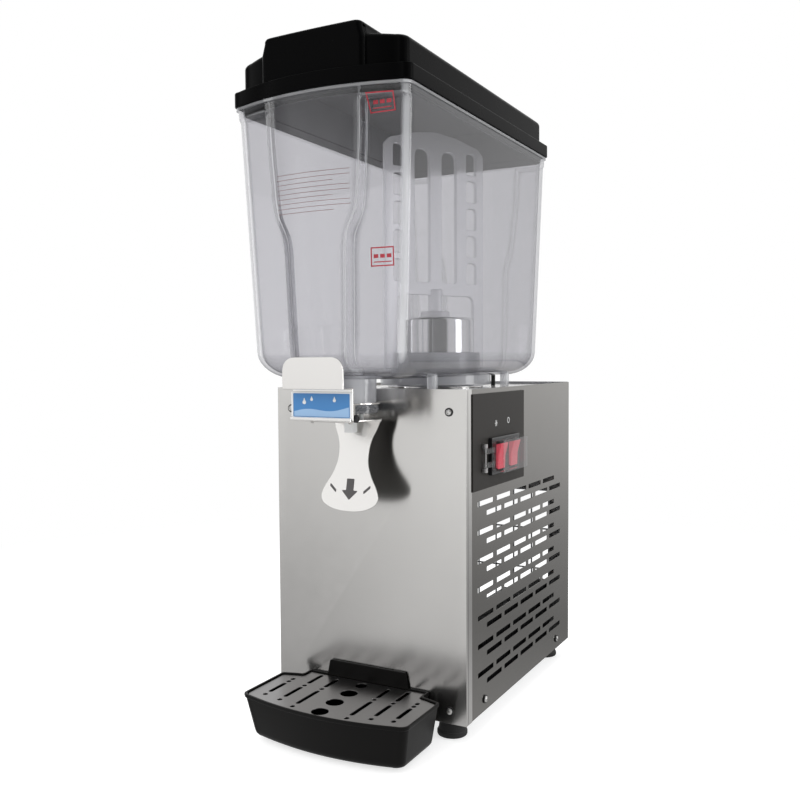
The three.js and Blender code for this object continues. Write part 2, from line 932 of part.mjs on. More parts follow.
// Every place that takes a case screw, as the head's seat and the way it points.
function screwPlaces() {
  const places = [];
  for (const [row, z] of [["lower", screwBottomZ], ["upper", screwTopZ]]) {
    for (const [side, sign] of [["left", -1], ["right", 1]]) {
      places.push(
        {
          name: "front_screw_" + row + "_" + side,
          face: "front",
          x: sign * (halfWidth - screwInsetX),
          y: 0,
          z,
        }
      );
    }
  }
  for (const [side, sign] of [["left", -1], ["right", 1]]) {
    for (const [end, y] of [["front", sideScrewFrontY], ["rear", sideScrewRearY]]) {
      places.push(
        { name: side + "_screw_" + end, face: side, x: sign * halfWidth, y, z: screwBottomZ }
      );
    }
  }
  return places;
}

function screwHoles(body) {
  const depth = 3 * sheet + overrun;
  return screwPlaces().reduce((left, { face, x, y, z }) => {
    const hole = face === "front" ? drumY(-overrun, depth, x, z, screwHoleRadius, 10) : drumX(
      x - depth,
      x + depth,
      y,
      z,
      screwHoleRadius,
      10,
    );
    return left.subtract(hole);
  }, body);
}

// A pan-head screw with its seat at the origin and its shank along -Z.
function makeScrew() {
  return turned(
    [
      [0, -screwLength],
      [screwShankRadius, -screwLength],
      [screwShankRadius, seatGap],
      [screwHeadRadius, seatGap],
      [screwHeadRadius, seatGap + screwHeadHeight * bevelShare],
      [screwCrownRadius, seatGap + screwHeadHeight],
      [0, seatGap + screwHeadHeight],
    ],
    8,
  );
}

function makeFrontPanel() {
  const outer = box(-halfWidth, halfWidth, 0, frontReturn, footHeight, cabinetTop);
  const room = box(
    -halfWidth + sheet,
    halfWidth - sheet,
    sheet,
    frontReturn + overrun,
    footHeight - overrun,
    cabinetTop + overrun,
  );
  return screwHoles(outer.subtract(room));
}

function makeSidePanel(side) {
  const outerX = side * halfWidth;
  const innerX = side * (halfWidth - sheet);
  const [x0, x1] = [Math.min(outerX, innerX), Math.max(outerX, innerX)];
  let panel = box(x0, x1, frontReturn + seatGap, cabinetDepth, footHeight, cabinetTop);
  for (let pair = 0; pair < slotRowPairs; pair += 1) {
    for (const half of [0, 1]) {
      for (let column = 0; column < slotColumns; column += 1) {
        const y = slotFirstY + column * slotPitchY + half * slotRowShift;
        const z = slotFirstZ - pair * slotPitchZ - half * slotRowDrop;
        const slot = box(
          x0 - overrun,
          x1 + overrun,
          y - slotLength / 2,
          y + slotLength / 2,
          z - slotHeight / 2,
          z + slotHeight / 2,
        );
        panel = panel.subtract(slot);
      }
    }
  }
  if (side > 0) panel = panel.subtract(switchBody(seatGap));
  return screwHoles(panel);
}

function makeBackPanel() {
  const x = innerHalf;
  const panel = box(-x, x, cabinetDepth - sheet, cabinetDepth, footHeight, cabinetTop);
  const hole = box(
    -rearHoleHalfWidth,
    rearHoleHalfWidth,
    cabinetDepth - sheet - overrun,
    cabinetDepth + overrun,
    rearHoleBottom,
    rearHoleTop,
  );
  const gland = drumY(
    cabinetDepth - overrun - sheet,
    cabinetDepth + overrun,
    glandX,
    glandZ,
    glandNeckRadius + seatGap,
    14,
  );
  return panel.subtract(hole).subtract(gland);
}

// Welded wire guard behind the rear opening: a frame, two cross wires and upright wires.
function makeRearGuard() {
  const half = rearHoleHalfWidth + guardMargin;
  const low = rearHoleBottom - guardMargin;
  const high = rearHoleTop + guardMargin;
  const y = cabinetDepth - sheet - seatGap - guardWire;
  const wires = [];
  for (let i = 0; i < guardWires; i += 1) {
    const x = -half + (2 * half * i) / (guardWires - 1);
    wires.push(drum(x, y, guardWire, low - guardWire, high + guardWire, 5));
  }
  for (const share of [0, 1 / 3, 2 / 3, 1]) {
    const z = low + (high - low) * share;
    wires.push(drumX(-half, half, y - guardWire, z, guardWire, 5));
  }
  return united(wires);
}

function makeFoot() {
  return turned(
    [
      [0, 0],
      [footBaseRadius, 0],
      [footBaseRadius, footBaseHeight],
      [footRadius, footBaseHeight + sheet],
      [footTopRadius, footHeight - seatGap],
      [0, footHeight - seatGap],
    ],
    16,
  );
}

// The part of the switch housing that goes through the side panel.
function switchBody(room) {
  const x0 = bezelX - switchBodyDepth - room;
  return box(
    x0,
    bezelX + room,
    bezelFront + switchBodyMargin - room,
    bezelBack - switchBodyMargin + room,
    bezelBottom + switchBodyMargin - room,
    bezelTop - switchBodyMargin + room,
  );
}

function makeSwitchHousing() {
  const frame = box(bezelX, bezelX + bezelThickness, bezelFront, bezelBack, bezelBottom, bezelTop);
  let housing = frame.add(switchBody(0));
  const pocketHalf = rockerWidth / 2 + seatGap;
  const pocketHigh = rockerHalfHeight + rockerPlay;
  for (const y of rockerPlaces()) {
    const pocket = box(
      rockerPivotX - switchBodyMargin * 2,
      rockerPivotX + overrun,
      y - pocketHalf,
      y + pocketHalf,
      switchZ - pocketHigh,
      switchZ + pocketHigh,
    );
    housing = housing.subtract(pocket);
  }
  return housing;
}

function rockerPlaces() {
  return [switchY - rockerPitch / 2, switchY + rockerPitch / 2];
}

// A rocker about its own pivot, as an [x, z] view with a dished face.
function makeRocker() {
  const h = rockerHalfHeight;
  const view = [
    [-rockerBack, -h + rockerDip],
    [rockerProud, -h],
    [rockerDip, 0],
    [rockerProud, h],
    [-rockerBack, h - rockerDip],
  ];
  return prismY(view, -rockerWidth / 2, rockerWidth / 2);
}

function makeControlPlate() {
  const x0 = halfWidth + seatGap;
  const plate = box(x0, x0 + plateThickness, frontReturn + seatGap, plateEnd, plateBottom, plateTop);
  return plate.subtract(switchBody(seatGap));
}

// Clear splash cover over the rockers, turning on an upright pin in front of it.
function hingePlace() {
  return { x: bezelX + hingeOffset, y: bezelFront - hingeReach };
}

// Lower ends of the two knuckles on the pin, each next to an ear.
function knuckleLows() {
  const reach = hingeHalf - earHeight - seatGap;
  return [switchZ - reach, switchZ + reach - knuckleHeight];
}

function makeSwitchCover() {
  const { x, y } = hingePlace();
  const base = rockerPivotX + seatGap;
  const [y0, y1] = [bezelFront + coverInsetY, bezelBack - coverInsetY];
  const [z0, z1] = [bezelBottom + coverInsetZ, bezelTop - coverInsetZ];
  const w = coverWall;
  const shell = box(base, coverTopX, y0, y1, z0, z1);
  const room = box(base - overrun, coverTopX - w, y0 + w, y1 - w, z0 + w, z1 - w);
  const arms = knuckleLows().map((low) => {
    const strap = box(base, base + strapThickness, y, y0 + w / 2, low, low + knuckleHeight);
    return strap.add(drum(x, y, hingeBarrelRadius, low, low + knuckleHeight, 12));
  });
  const bore = drum(x, y, hingePinRadius + seatGap / 2, switchZ - hingeHalf, switchZ + hingeHalf, 12);
  return united([shell.subtract(room), ...arms]).subtract(bore);
}

// The upright hinge pin and the two ears that hold it off the control plate.
function makeCoverHinge() {
  const { x, y } = hingePlace();
  const [z0, z1] = [switchZ - hingeHalf, switchZ + hingeHalf];
  const r = hingeBarrelRadius;
  const ear = (low, high) => box(bezelX, x, y - r, y + r, low, high).add(drum(x, y, r, low, high, 12));
  return united(
    [drum(x, y, hingePinRadius, z0, z1, 10), ear(z0, z0 + earHeight), ear(z1 - earHeight, z1)]
  );
}

// Valve: a head on the bowl's floor, a stem through it, and a cross bar whose legs the lever lifts.
function makePlunger() {
  const floorTop = tankFloor + tankWall;
  const headLow = floorTop + seatGap + sealDisc + seatGap;
  const legLow = leverShelfTop + seatGap;
  const head = drum(0, 0, plungerHeadRadius, headLow, headLow + plungerHead, 16);
  const stem = drum(0, 0, plungerStem, crossBarBottom, headLow + plungerHead / 2, 10);
  const barTop = crossBarBottom + crossBarHeight;
  const bar = box(
    -crossBarHalf,
    crossBarHalf,
    -crossBarWidth / 2,
    crossBarWidth / 2,
    crossBarBottom,
    barTop,
  );
  const collar = drum(0, 0, springRadius + springWire * 2, crossBarBottom, barTop, 14);
  const legs = [-1, 1].map((side) => {
    const x = side * (crossBarHalf - plungerLegWidth / 2);
    return box(
      x - plungerLegWidth / 2,
      x + plungerLegWidth / 2,
      -crossBarWidth / 2,
      crossBarWidth / 2,
      legLow,
      barTop,
    );
  });
  return united([head, stem, bar, collar, ...legs]);
}

function makeValveSeal() {
  const low = tankFloor + tankWall + seatGap;
  return ring(plungerStem + seatGap, plungerHeadRadius, low, low + sealDisc, 16);
}

// Least distance between surface points of different turns, measured on the points themselves.
function leastGap(positions, sides) {
  const perTurn = springSteps * sides;
  const apart = (i, j) => Math.hypot(
    ...[0, 1, 2].map((axis) => positions[3 * i + axis] - positions[3 * j + axis])
  );
  const count = positions.length / 3;
  let least = Infinity;
  for (let i = 0; i < count; i += 1) {
    for (let j = i + perTurn / 2; j < count; j += 1) {
      least = Math.min(least, apart(i, j));
    }
  }
  return least;
}

// One unbroken helix of round wire, as rings of points joined end to end.
function makeSpring() {
  const low = crossBarBottom + crossBarHeight + seatGap + springWire;
  const high = tankFloor - seatGap - springWire;
  const steps = springSteps * springTurns;
  const sides = 5;
  const pitch = (high - low) / springTurns;
  const slope = Math.atan2(pitch, 2 * Math.PI * springRadius);
  const positions = [];
  for (let i = 0; i <= steps; i += 1) {
    const angle = (2 * Math.PI * springTurns * i) / steps;
    const centre = new THREE.Vector3(
      springRadius * Math.cos(angle),
      springRadius * Math.sin(angle),
      low + ((high - low) * i) / steps,
    );
    const outward = new THREE.Vector3(Math.cos(angle), Math.sin(angle), 0);
    const along = new THREE.Vector3(
      -Math.sin(angle) * Math.cos(slope),
      Math.cos(angle) * Math.cos(slope),
      Math.sin(slope),
    );
    const up = new THREE.Vector3().crossVectors(along, outward);
    for (let k = 0; k < sides; k += 1) {
      const turn = (2 * Math.PI * k) / sides;
      const point = centre.clone().addScaledVector(
        outward,
        springWire * Math.cos(turn),
      ).addScaledVector(up, springWire * Math.sin(turn));
      positions.push(point.x, point.y, point.z);
    }
  }
  const indices = [];
  for (let i = 0; i < steps; i += 1) {
    for (let k = 0; k < sides; k += 1) {
      const a = i * sides + k;
      const b = i * sides + ((k + 1) % sides);
      indices.push(a, b + sides, b, a, a + sides, b + sides);
    }
  }
  for (let k = 1; k < sides - 1; k += 1) {
    indices.push(0, k, k + 1);
    indices.push(steps * sides, steps * sides + k + 1, steps * sides + k);
  }
  const geometry = new THREE.BufferGeometry();
  geometry.setAttribute("position", new THREE.Float32BufferAttribute(positions, 3));
  geometry.setIndex(indices);
  console.log("valve spring: least gap between turns " + leastGap(positions, sides).toFixed(2) + " mm");
  return solid(geometry);
}

function makeNozzle() {
  const high = bossBottom - seatGap;
  const low = high - nozzleFlange;
  const half = nozzleSize / 2;
  const bore = half - nozzleWall;
  const flange = drum(0, 0, bossBottomRadius - seatGap, low, high, 24);
  const tube = box(-half, half, -half, half, nozzleBottom, high);
  const legRoom = crossBarHalf + seatGap * 2;
  const slot = box(
    -legRoom,
    legRoom,
    -crossBarWidth / 2 - seatGap,
    crossBarWidth / 2 + seatGap,
    low - overrun,
    high + overrun,
  );
  const keep = box(-half, half, -crossBarWidth, crossBarWidth, low - overrun * 2, high + overrun * 2);
  return flange.add(tube).subtract(slot.subtract(keep)).subtract(
    box(-bore, bore, -bore, bore, nozzleBottom - overrun, high + overrun)
  );
}

function makeNut() {
  const flangeLow = bossBottom - seatGap - nozzleFlange;
  const lipTop = flangeLow - seatGap;
  const low = lipTop - nutLip;
  const bore = bossBottomRadius + nutPlay;
  return turned(
    [
      [nutHole, low],
      [nutRadius, low],
      [nutRadius, low + nutHeight],
      [bore, low + nutHeight],
      [bore, lipTop],
      [nutHole, lipTop],
      [nutHole, low],
    ],
    24,
  );
}

// The flat tongue of the bracket, with a ring round the outlet boss.
function bracketTongue(low, high) {
  const tongue = box(-bracketHalf, bracketHalf, signY + signThickness + seatGap, tapY, low, high);
  const loop = drum(0, tapY, bracketRing, low, high, roundSides);
  const bore = drum(0, tapY, bossTopRadius + seatGap, low - overrun, high + overrun, roundSides);
  return tongue.add(loop).subtract(bore);
}

// Front view of the bracket's upper tab, with cut corners.
function tabView() {
  const right = [
    [signHalf, tabLow],
    [signHalf, tabTop - tabCorner],
    [signHalf - tabCorner * bevelShare, tabTop - tabCorner * bevelShare],
    [signHalf - tabCorner, tabTop],
  ];
  return [...right, ...right.map(([x, z]) => [-x, z]).reverse()];
}

// Bracket: sign backing with a lower channel, a step forward to the tab, and two ears for the lever pin.
function makeBracket() {
  const low = nutTop() + seatGap;
  const high = low + bracketThickness;
  const backing = signY + signThickness + seatGap;
  const inside = backing + bracketThickness;
  const face = box(-signHalf, signHalf, backing, inside, channelLow, tabLow + bracketThickness);
  const channel = box(
    -signHalf,
    signHalf,
    signY - channelReach,
    inside,
    channelLow,
    channelLow + channelLip,
  );
  const step = box(-signHalf, signHalf, tabFrontY, inside, tabLow, tabLow + bracketThickness);
  const tab = prismY(tabView(), tabFrontY, tabFrontY + bracketThickness);
  const earView = [
    [pivotY - earWidth / 2, high],
    [pivotY - earWidth / 2, pivotZ],
    [pivotY, pivotZ - earDrop],
    [pivotY + earWidth / 2, pivotZ],
    [pivotY + earWidth / 2, high],
  ];
  const ears = [-bracketHalf, bracketHalf - bracketThickness].map(
    (x) => prismX(earView, x, x + bracketThickness)
  );
  const pinHole = drumX(-halfWidth, halfWidth, pivotY, pivotZ, pinRadius + seatGap, 12);
  return united([bracketTongue(low, high), face, channel, step, tab, ...ears]).subtract(pinHole);
}

function nutTop() {
  return bossBottom - seatGap - nozzleFlange - seatGap - nutLip + nutHeight;
}

function makeSign() {
  const inner = signHalf - signBorder;
  const plate = box(-signHalf, signHalf, signY, signY + signThickness, signLow, signHigh);
  return plate.subtract(
    box(-inner, inner, signY - overrun, signY + signRecess, signLow + signBorder, signHigh - signBorder)
  );
}

function makeLeverPin() {
  const rod = drumX(-pinHalf, pinHalf, pivotY, pivotZ, pinRadius, 12);
  const caps = [-1, 1].map((side) => {
    const a = side * (pinHalf - pinCapLength);
    const b = side * pinHalf;
    return drumX(Math.min(a, b), Math.max(a, b), pivotY, pivotZ, pinCap, 12);
  });
  return united([rod, ...caps]);
}

// Lever: a barrel on the pin, a shelf under the valve and a leaning paddle that a cup pushes.
function makeLever() {
  const shelfLow = leverShelfTop - leverThickness;
  const flare = leverHalf * leverEdgeShares[0][0];
  const shelfView = [
    [leverBarrelHalf, pivotY],
    [leverBarrelHalf, pivotY + earWidth / 2 + seatGap],
    [flare, tapY],
    [flare, leverBendY],
    [-flare, leverBendY],
    [-flare, tapY],
    [-leverBarrelHalf, pivotY + earWidth / 2 + seatGap],
    [-leverBarrelHalf, pivotY],
  ];
  const shelf = prismZ(shelfView, shelfLow, leverShelfTop);
  const hole = leverHole / 2;
  const opening = box(
    -hole,
    hole,
    tapY - hole,
    tapY + hole / 2 + nozzleWall,
    shelfLow - overrun,
    leverShelfTop + overrun,
  );
  const barrel = drumX(-leverBarrelHalf, leverBarrelHalf, pivotY, pivotZ, leverBarrelRadius, 14);
  const bore = drumX(
    -leverBarrelHalf - overrun,
    leverBarrelHalf + overrun,
    pivotY,
    pivotZ,
    pinRadius + seatGap,
    12,
  );
  const right = leverEdgeShares.map(([w, d]) => [w * leverHalf, -d * leverLength]);
  const left = right.map(([x, z]) => [-x, z]).reverse();
  const plateGeometry = prism([...right, [0, -leverLength], ...left], 0, leverThickness);
  plateGeometry.rotateX(Math.PI / 2);
  plateGeometry.rotateX(-THREE.MathUtils.degToRad(leverLean));
  plateGeometry.translate(0, leverBendY, leverShelfTop);
  const plate = solid(plateGeometry);
  return united([shelf.subtract(opening), barrel, plate]).subtract(bore);
}

// Tray plan: bowed front, sides that stop short, and a narrower back that meets the cabinet.
function trayOutline(half, corner, bow, inset) {
  const w = half - inset;
  const r = trayCorner;
  const rise = bow - corner;
  const frontAt = (x) => -(corner + rise * (1 - (x / w) ** 2) - inset);
  const span = w - r;
  const points = [];
  for (let i = 0; i < bowSides; i += 1) {
    const x = -span + (2 * span * i) / bowSides;
    points.push([x, frontAt(x)]);
  }
  const backHalf = Math.min(trayBackHalf, w - r) - inset;
  const backY = -trayBackGap - inset;
  const sideY = -traySideBack - inset;
  const right = [
    ...quarter(span, frontAt(span) + r, r, -Math.PI / 2, cornerSides),
    [w, sideY],
    [backHalf + trayJog, sideY + trayJog / 2],
    [backHalf, backY],
  ];
  const left = right.map(([x, y]) => [-x, y]).reverse();
  points.push(...right, ...left.slice(0, -1));
  return points;
}

// The tray's plan at a height, drawn in by an inset.
function trayPlan(z, inset) {
  const t = (z - trayBottom) / (trayTop - trayBottom);
  const half = trayBottomHalf + (trayTopHalf - trayBottomHalf) * t;
  const corner = trayBottomCorner + (trayTopCorner - trayBottomCorner) * t;
  const bow = trayBottomBow + (trayTopBow - trayBottomBow) * t;
  return trayOutline(half, corner, bow, inset);
}

function makeTray() {
  const outerAt = (z, inset) => atHeight(trayPlan(z, inset), z);
  const ledgeZ = grilleSeat();
  const high = trayTop + overrun;
  const outer = loft([outerAt(trayBottom, 0), outerAt(trayTop, 0)]);
  const well = loft(
    [outerAt(trayBottom + trayWall, trayWall + trayLedge), outerAt(high, trayWall + trayLedge)]
  );
  const recess = loft([outerAt(ledgeZ, trayWall), outerAt(high, trayWall)]);
  const backHigh = -trayBackGap;
  const plateView = [
    [trayPlateHalf, trayTop - trayPlateRoot],
    [trayPlateHalf, trayTop],
    [trayPlateHalf - trayPlateSlant, trayPlateTop],
    [-trayPlateHalf + trayPlateSlant, trayPlateTop],
    [-trayPlateHalf, trayTop],
    [-trayPlateHalf, trayTop - trayPlateRoot],
  ];
  const plate = prismY(plateView, backHigh - trayWall, backHigh);
  const tongue = box(
    -tongueHalf,
    tongueHalf,
    -trayBackGap - trayWall,
    tongueLength,
    tongueBottom,
    tongueBottom + tongueThickness,
  );
  return outer.subtract(well).subtract(recess).add(plate).add(tongue);
}

function grilleSeat() {
  return trayTop - grilleDrop - grilleThickness - seatGap;
}

function makeRunner(side) {
  const inner = tongueHalf + seatGap * 2;
  const foot = tongueBottom - seatGap;
  const top = footHeight - seatGap;
  const web = box(inner, inner + runnerSheet, runnerFront, tongueLength, foot - runnerSheet, top);
  const shelf = box(
    inner - runnerFoot,
    inner + runnerSheet,
    runnerFront,
    tongueLength,
    foot - runnerSheet,
    foot,
  );
  const flange = box(inner, inner + runnerFoot, runnerFront, tongueLength, top - runnerSheet, top);
  const runner = united([web, shelf, flange]);
  return side > 0 ? runner : runner.mirror([1, 0, 0]);
}

// A slot or a dot of the grille as a rounded outline along y.
function slotOutline(x, y0, y1, radius) {
  const c = radius * slotEndShare;
  return [
    [x - radius, y0 + c],
    [x - radius / 2, y0],
    [x + radius / 2, y0],
    [x + radius, y0 + c],
    [x + radius, y1 - c],
    [x + radius / 2, y1],
    [x - radius / 2, y1],
    [x - radius, y1 - c],
  ];
}

function makeGrille() {
  const z0 = grilleSeat() + seatGap;
  const z1 = z0 + grilleThickness;
  const inset = trayWall + 2 * seatGap;
  let grille = loft([atHeight(trayPlan(z0, inset), z0), atHeight(trayPlan(z0, inset), z1)]);
  const cut = (outline) => {
    grille = grille.subtract(prismZ(outline, z0 - overrun, z1 + overrun));
  };
  for (const { y, radius } of roundHoles) {
    grille = grille.subtract(drum(0, y, radius, z0 - overrun, z1 + overrun, 14));
  }
  for (const { x, dots, slots } of grilleLines) {
    for (const side of [-1, 1]) {
      for (const y of dots) cut(slotOutline(side * x, y - dotRadius, y + dotRadius, dotRadius));
      for (const [front, back] of slots) cut(slotOutline(side * x, front, back, slotHalf));
    }
  }
  return grille;
}

// Outer face of the condenser, just inside the base pan's flange.
function condenserOuter() {
  return innerHalf - sheet - seatGap;
}

// Condenser against the right side: a block with upright fins and end plates.
function makeCondenser() {
  const x1 = condenserOuter();
  const x0 = x1 - condenserThickness;
  const low = panFloor + seatGap;
  const high = low + condenserHeight;
  const core = box(x0 + finDepth, x1 - finDepth, condenserFront, condenserBack, low, high);
  const fins = [];
  const pitch = (condenserBack - condenserFront - sheet) / (condenserFins - 1);
  for (let i = 0; i < condenserFins; i += 1) {
    const y = condenserFront + i * pitch;
    fins.push(box(x0, x1, y, y + sheet, low, high));
  }
  return united([core, ...fins]);
}

function makeShroud() {
  const x1 = condenserOuter() - condenserThickness - seatGap;
  const x0 = x1 - shroudThickness;
  const low = panFloor + seatGap;
  const plate = box(
    x0,
    x1,
    fanY - shroudLength / 2,
    fanY + shroudLength / 2,
    low,
    low + 2 * shroudHalf,
  );
  return plate.subtract(
    drumX(x0 - overrun, x1 + overrun, fanY, low + shroudHalf, fanRadius + fanRoom, 24)
  );
}

function fanPlace() {
  const x = condenserOuter() - condenserThickness - seatGap - shroudThickness / 2;
  return { x, z: panFloor + seatGap + shroudHalf };
}

// Fan about its own middle, axis along x: a hub and pitched blades.
function makeFan() {
  const half = fanDepth / 2;
  const parts = [drumX(-half, half, 0, 0, fanHub, 14)];
  for (let i = 0; i < fanBlades; i += 1) {
    const blade = new THREE.BoxGeometry(sheet, fanBladeWidth, fanRadius - fanHub / 2);
    blade.translate(0, 0, fanHub / 2 + (fanRadius - fanHub / 2) / 2);
    blade.rotateZ(THREE.MathUtils.degToRad(fanPitch));
    blade.rotateX((2 * Math.PI * i) / fanBlades);
    parts.push(solid(blade));
  }
  const round = drumX(-half, half, 0, 0, fanRadius, 24);
  return united(parts).intersect(round);
}

// Fan motor behind the fan, with four arms that reach the shroud.
function makeFanMotor() {
  const { x, z } = fanPlace();
  const high = x - fanDepth / 2 - seatGap;
  const can = drumX(high - fanMotorLength, high, fanY, z, fanMotorRadius, 16);
  const armX = x - shroudThickness / 2 - seatGap;
  const reach = fanRadius + fanRoom + bracketWire;
  const arms = [
    box(armX - bracketWire, armX, fanY - reach, fanY + reach, z - bracketWire / 2, z + bracketWire / 2),
    box(
      armX - bracketWire,
      armX,
      fanY - bracketWire / 2,
      fanY + bracketWire / 2,
      z - reach + bracketWire,
      z + reach - bracketWire,
    ),
  ];
  return united([can, ...arms]).subtract(
    drumX(high, high + overrun + fanDepth, fanY, z, fanHub + fanRoom / 2, 14)
  );
}

function makeCompressor() {
  const low = panFloor + seatGap;
  const plateLow = low + compressorFootHeight;
  const profile = compressorShares.map(([radiusShare, heightShare, seam]) => [
    compressorRadius * radiusShare + compressorSeam * seam,
    low + compressorHeight * heightShare,
  ]);
  const shellLow = profile[0][1];
  const shell = turned([[0, shellLow], ...profile, [0, low + compressorHeight]]);
  const halfX = compressorRadius * compressorPlateShares.halfX;
  const halfY = compressorRadius * compressorPlateShares.halfY;
  const plateHigh = plateLow - sheet + compressorPlateThickness;
  const plate = box(-halfX, halfX, -halfY, halfY, plateLow - sheet, plateHigh);
  const feet = [];
  const footX = compressorRadius * compressorFootShares.x;
  const footY = compressorRadius * compressorFootShares.y;
  for (const x of [-footX, footX]) {
    for (const y of [-footY, footY]) {
      feet.push(drum(x, y, compressorFootRadius, low, plateLow, 8));
    }
  }
  return united([shell, plate, ...feet]);
}

// A round tube along a smooth curve through the given points.
function tube(points, radius, steps) {
  const curve = new THREE.CatmullRomCurve3(points.map(([x, y, z]) => new THREE.Vector3(x, y, z)));
  const sides = 8;
  const corner = (i) => new THREE.Vector2(radius, 0).rotateAround(
    new THREE.Vector2(),
    (2 * Math.PI * i) / sides,
  );
  const section = new THREE.Shape(Array.from({ length: sides }, (_, i) => corner(i)));
  const geometry = new THREE.ExtrudeGeometry(
    section,
    { steps, extrudePath: curve, bevelEnabled: false },
  );
  return solid(geometry);
}

// Suction pipe from the compressor's dome up to the insulation under the can.
function makePipe() {
  const startY = compressorY - compressorRadius - seatGap;
  const foamLow = deckTop - sheet - seatGap - foamHeight - seatGap;
  const points = [
    [compressorX, startY, pipeStartZ],
    [compressorX, startY - pipeRun, pipeStartZ],
    [pipeEndX, pipeEndY, pipeStartZ + 2 * pipeRun],
    [pipeEndX, pipeEndY, foamLow - pipeRun],
    [pipeEndX, pipeEndY, foamLow],
  ];
  return tube(points, pipeRadius, 18);
}

function makeDrier() {
  const low = panFloor + seatGap;
  const can = drumY(
    drierY - drierLength / 2,
    drierY + drierLength / 2,
    drierX,
    drierZ,
    drierRadius,
    12,
  );
  const clip = box(
    drierX - sheet * 2,
    drierX + sheet * 2,
    drierY - drierRadius,
    drierY + drierRadius,
    low,
    drierZ,
  );
  return can.add(clip);
}

function makeThermostat() {
  const x = -innerHalf + sheet + seatGap;
  const top = deckTop - sheet - seatGap;
  return box(x, x + thermostatSize, thermostatSize, 2 * thermostatSize, top - thermostatSize, top);
}

function makeGland() {
  const inside = cabinetDepth - sheet - seatGap;
  const outside = cabinetDepth + seatGap;
  const neck = drumY(inside - glandRadius, outside + seatGap, glandX, glandZ, glandNeckRadius, 14);
  const nut = drumY(inside - glandRadius, inside, glandX, glandZ, glandRadius, 6);
  const collar = drumY(outside, outside + glandCollar, glandX, glandZ, glandRadius, 14);
  const dome = drumY(outside, cabinetDepth + glandReach, glandX, glandZ, glandDomeRadius, 14);
  return united([neck, nut, collar, dome]);
}

function makeSeal() {
  const inner = canRadius + seatGap;
  const low = tankFloor - sealHeight / 2 + collarWall;
  return ring(inner, inner + sealWidth, low, low + sealHeight, roundSides);
}

function makeCoil() {
  const outer = canRadius - canWall - coilRoom;
  return ring(outer - coilWidth, outer, coilBottom, coilTop, roundSides);
}

function makeBuffer() {
  const high = tankFloor - seatGap;
  return drum(0, 0, legRadius / 2, deckTop + seatGap, high, 8);
}

// Cabinet with its controls, feet, screws and machinery
const cabinet = new THREE.Group();
cabinet.add(
  named("base_pan", makeBasePan(), "zinc"),
  named("front_panel", makeFrontPanel(), "brushed"),
  named("left_side_panel", makeSidePanel(-1), "darkSteel"),
  named("right_side_panel", makeSidePanel(1), "darkSteel"),
  named("back_panel", makeBackPanel(), "darkSteel"),
  named("rear_guard", makeRearGuard(), "polished"),
  named("top_deck", makeTopDeck(), "darkSteel"),
  named("control_plate", makeControlPlate(), "glossBlack"),
  named("switch_housing", makeSwitchHousing(), "blackPlastic"),
  named("switch_cover", makeSwitchCover(), "clear"),
  named("cover_hinge", makeCoverHinge(), "blackPlastic"),
  named("condenser", makeCondenser(), "blackPaint"),
  named("fan_shroud", makeShroud(), "zinc"),
  named("fan_motor", makeFanMotor(), "blackPaint"),
  named("suction_pipe", makePipe(), "copper"),
  named("filter_drier", makeDrier(), "copper"),
  named("thermostat", makeThermostat(), "white"),
  named("power_gland", makeGland(), "blackPlastic"),
);

for (const [end, y] of [["front", footFrontY], ["rear", cabinetDepth - footFrontY]]) {
  for (const [side, sign] of [["left", -1], ["right", 1]]) {
    const foot = named("foot_" + end + "_" + side, makeFoot(), "rubber");
    foot.position.set(sign * (halfWidth - footInset), y, 0);
    cabinet.add(foot);
  }
}

for (const { name, face, x, y, z } of screwPlaces()) {
  const screw = named(name, makeScrew(), "polished");
  screw.position.set(x, y, z);
  if (face === "front") screw.rotation.x = Math.PI / 2;
  if (face === "right") screw.rotation.y = Math.PI / 2;
  if (face === "left") screw.rotation.y = -Math.PI / 2;
  cabinet.add(screw);
}

rockerPlaces().forEach((y, index) => {
  const rocker = named(["rocker_cooling", "rocker_stirring"][index], makeRocker(), "red");
  rocker.position.set(rockerPivotX, y, switchZ);
  rocker.rotation.y = THREE.MathUtils.degToRad(rockerTilt);
  cabinet.add(rocker);
});

const fan = named("condenser_fan", makeFan(), "blackPlastic");
fan.position.set(fanPlace().x, fanY, fanPlace().z);
const compressor = named("compressor", makeCompressor(), "blackPaint");
compressor.position.set(compressorX, compressorY, 0);
cabinet.add(fan, compressor);

// What stands on the middle of the cooling can
const canGroup = new THREE.Group();
canGroup.position.set(0, canY, 0);
const paddle = named("stirring_paddle", makePaddle(), "white");
paddle.rotation.z = THREE.MathUtils.degToRad(paddleAngle);
canGroup.add(
  named("evaporator_can", makeCan(), "polished"),
  named("evaporator_coil", makeCoil(), "copper"),
  named("can_seal", makeSeal(), "silicone"),
  named("drive_magnet", makeMagnetDrive(), "blackPaint"),
  named("stirrer_motor", makeMotor(), "zinc"),
  named("insulation_block", makeFoam(), "foam"),
  paddle,
);

// Bowl, lid and the buffers under the bowl
const bowl = new THREE.Group();
bowl.add(named("tank", makeTank(), "clear"), named("lid", makeLid(), "blackPlastic"));
for (const [side, sign] of [["left", -1], ["right", 1]]) {
  const buffer = named("tank_buffer_" + side, makeBuffer(), "rubber");
  buffer.position.set(sign * bufferX, bufferY, 0);
  bowl.add(buffer);
}

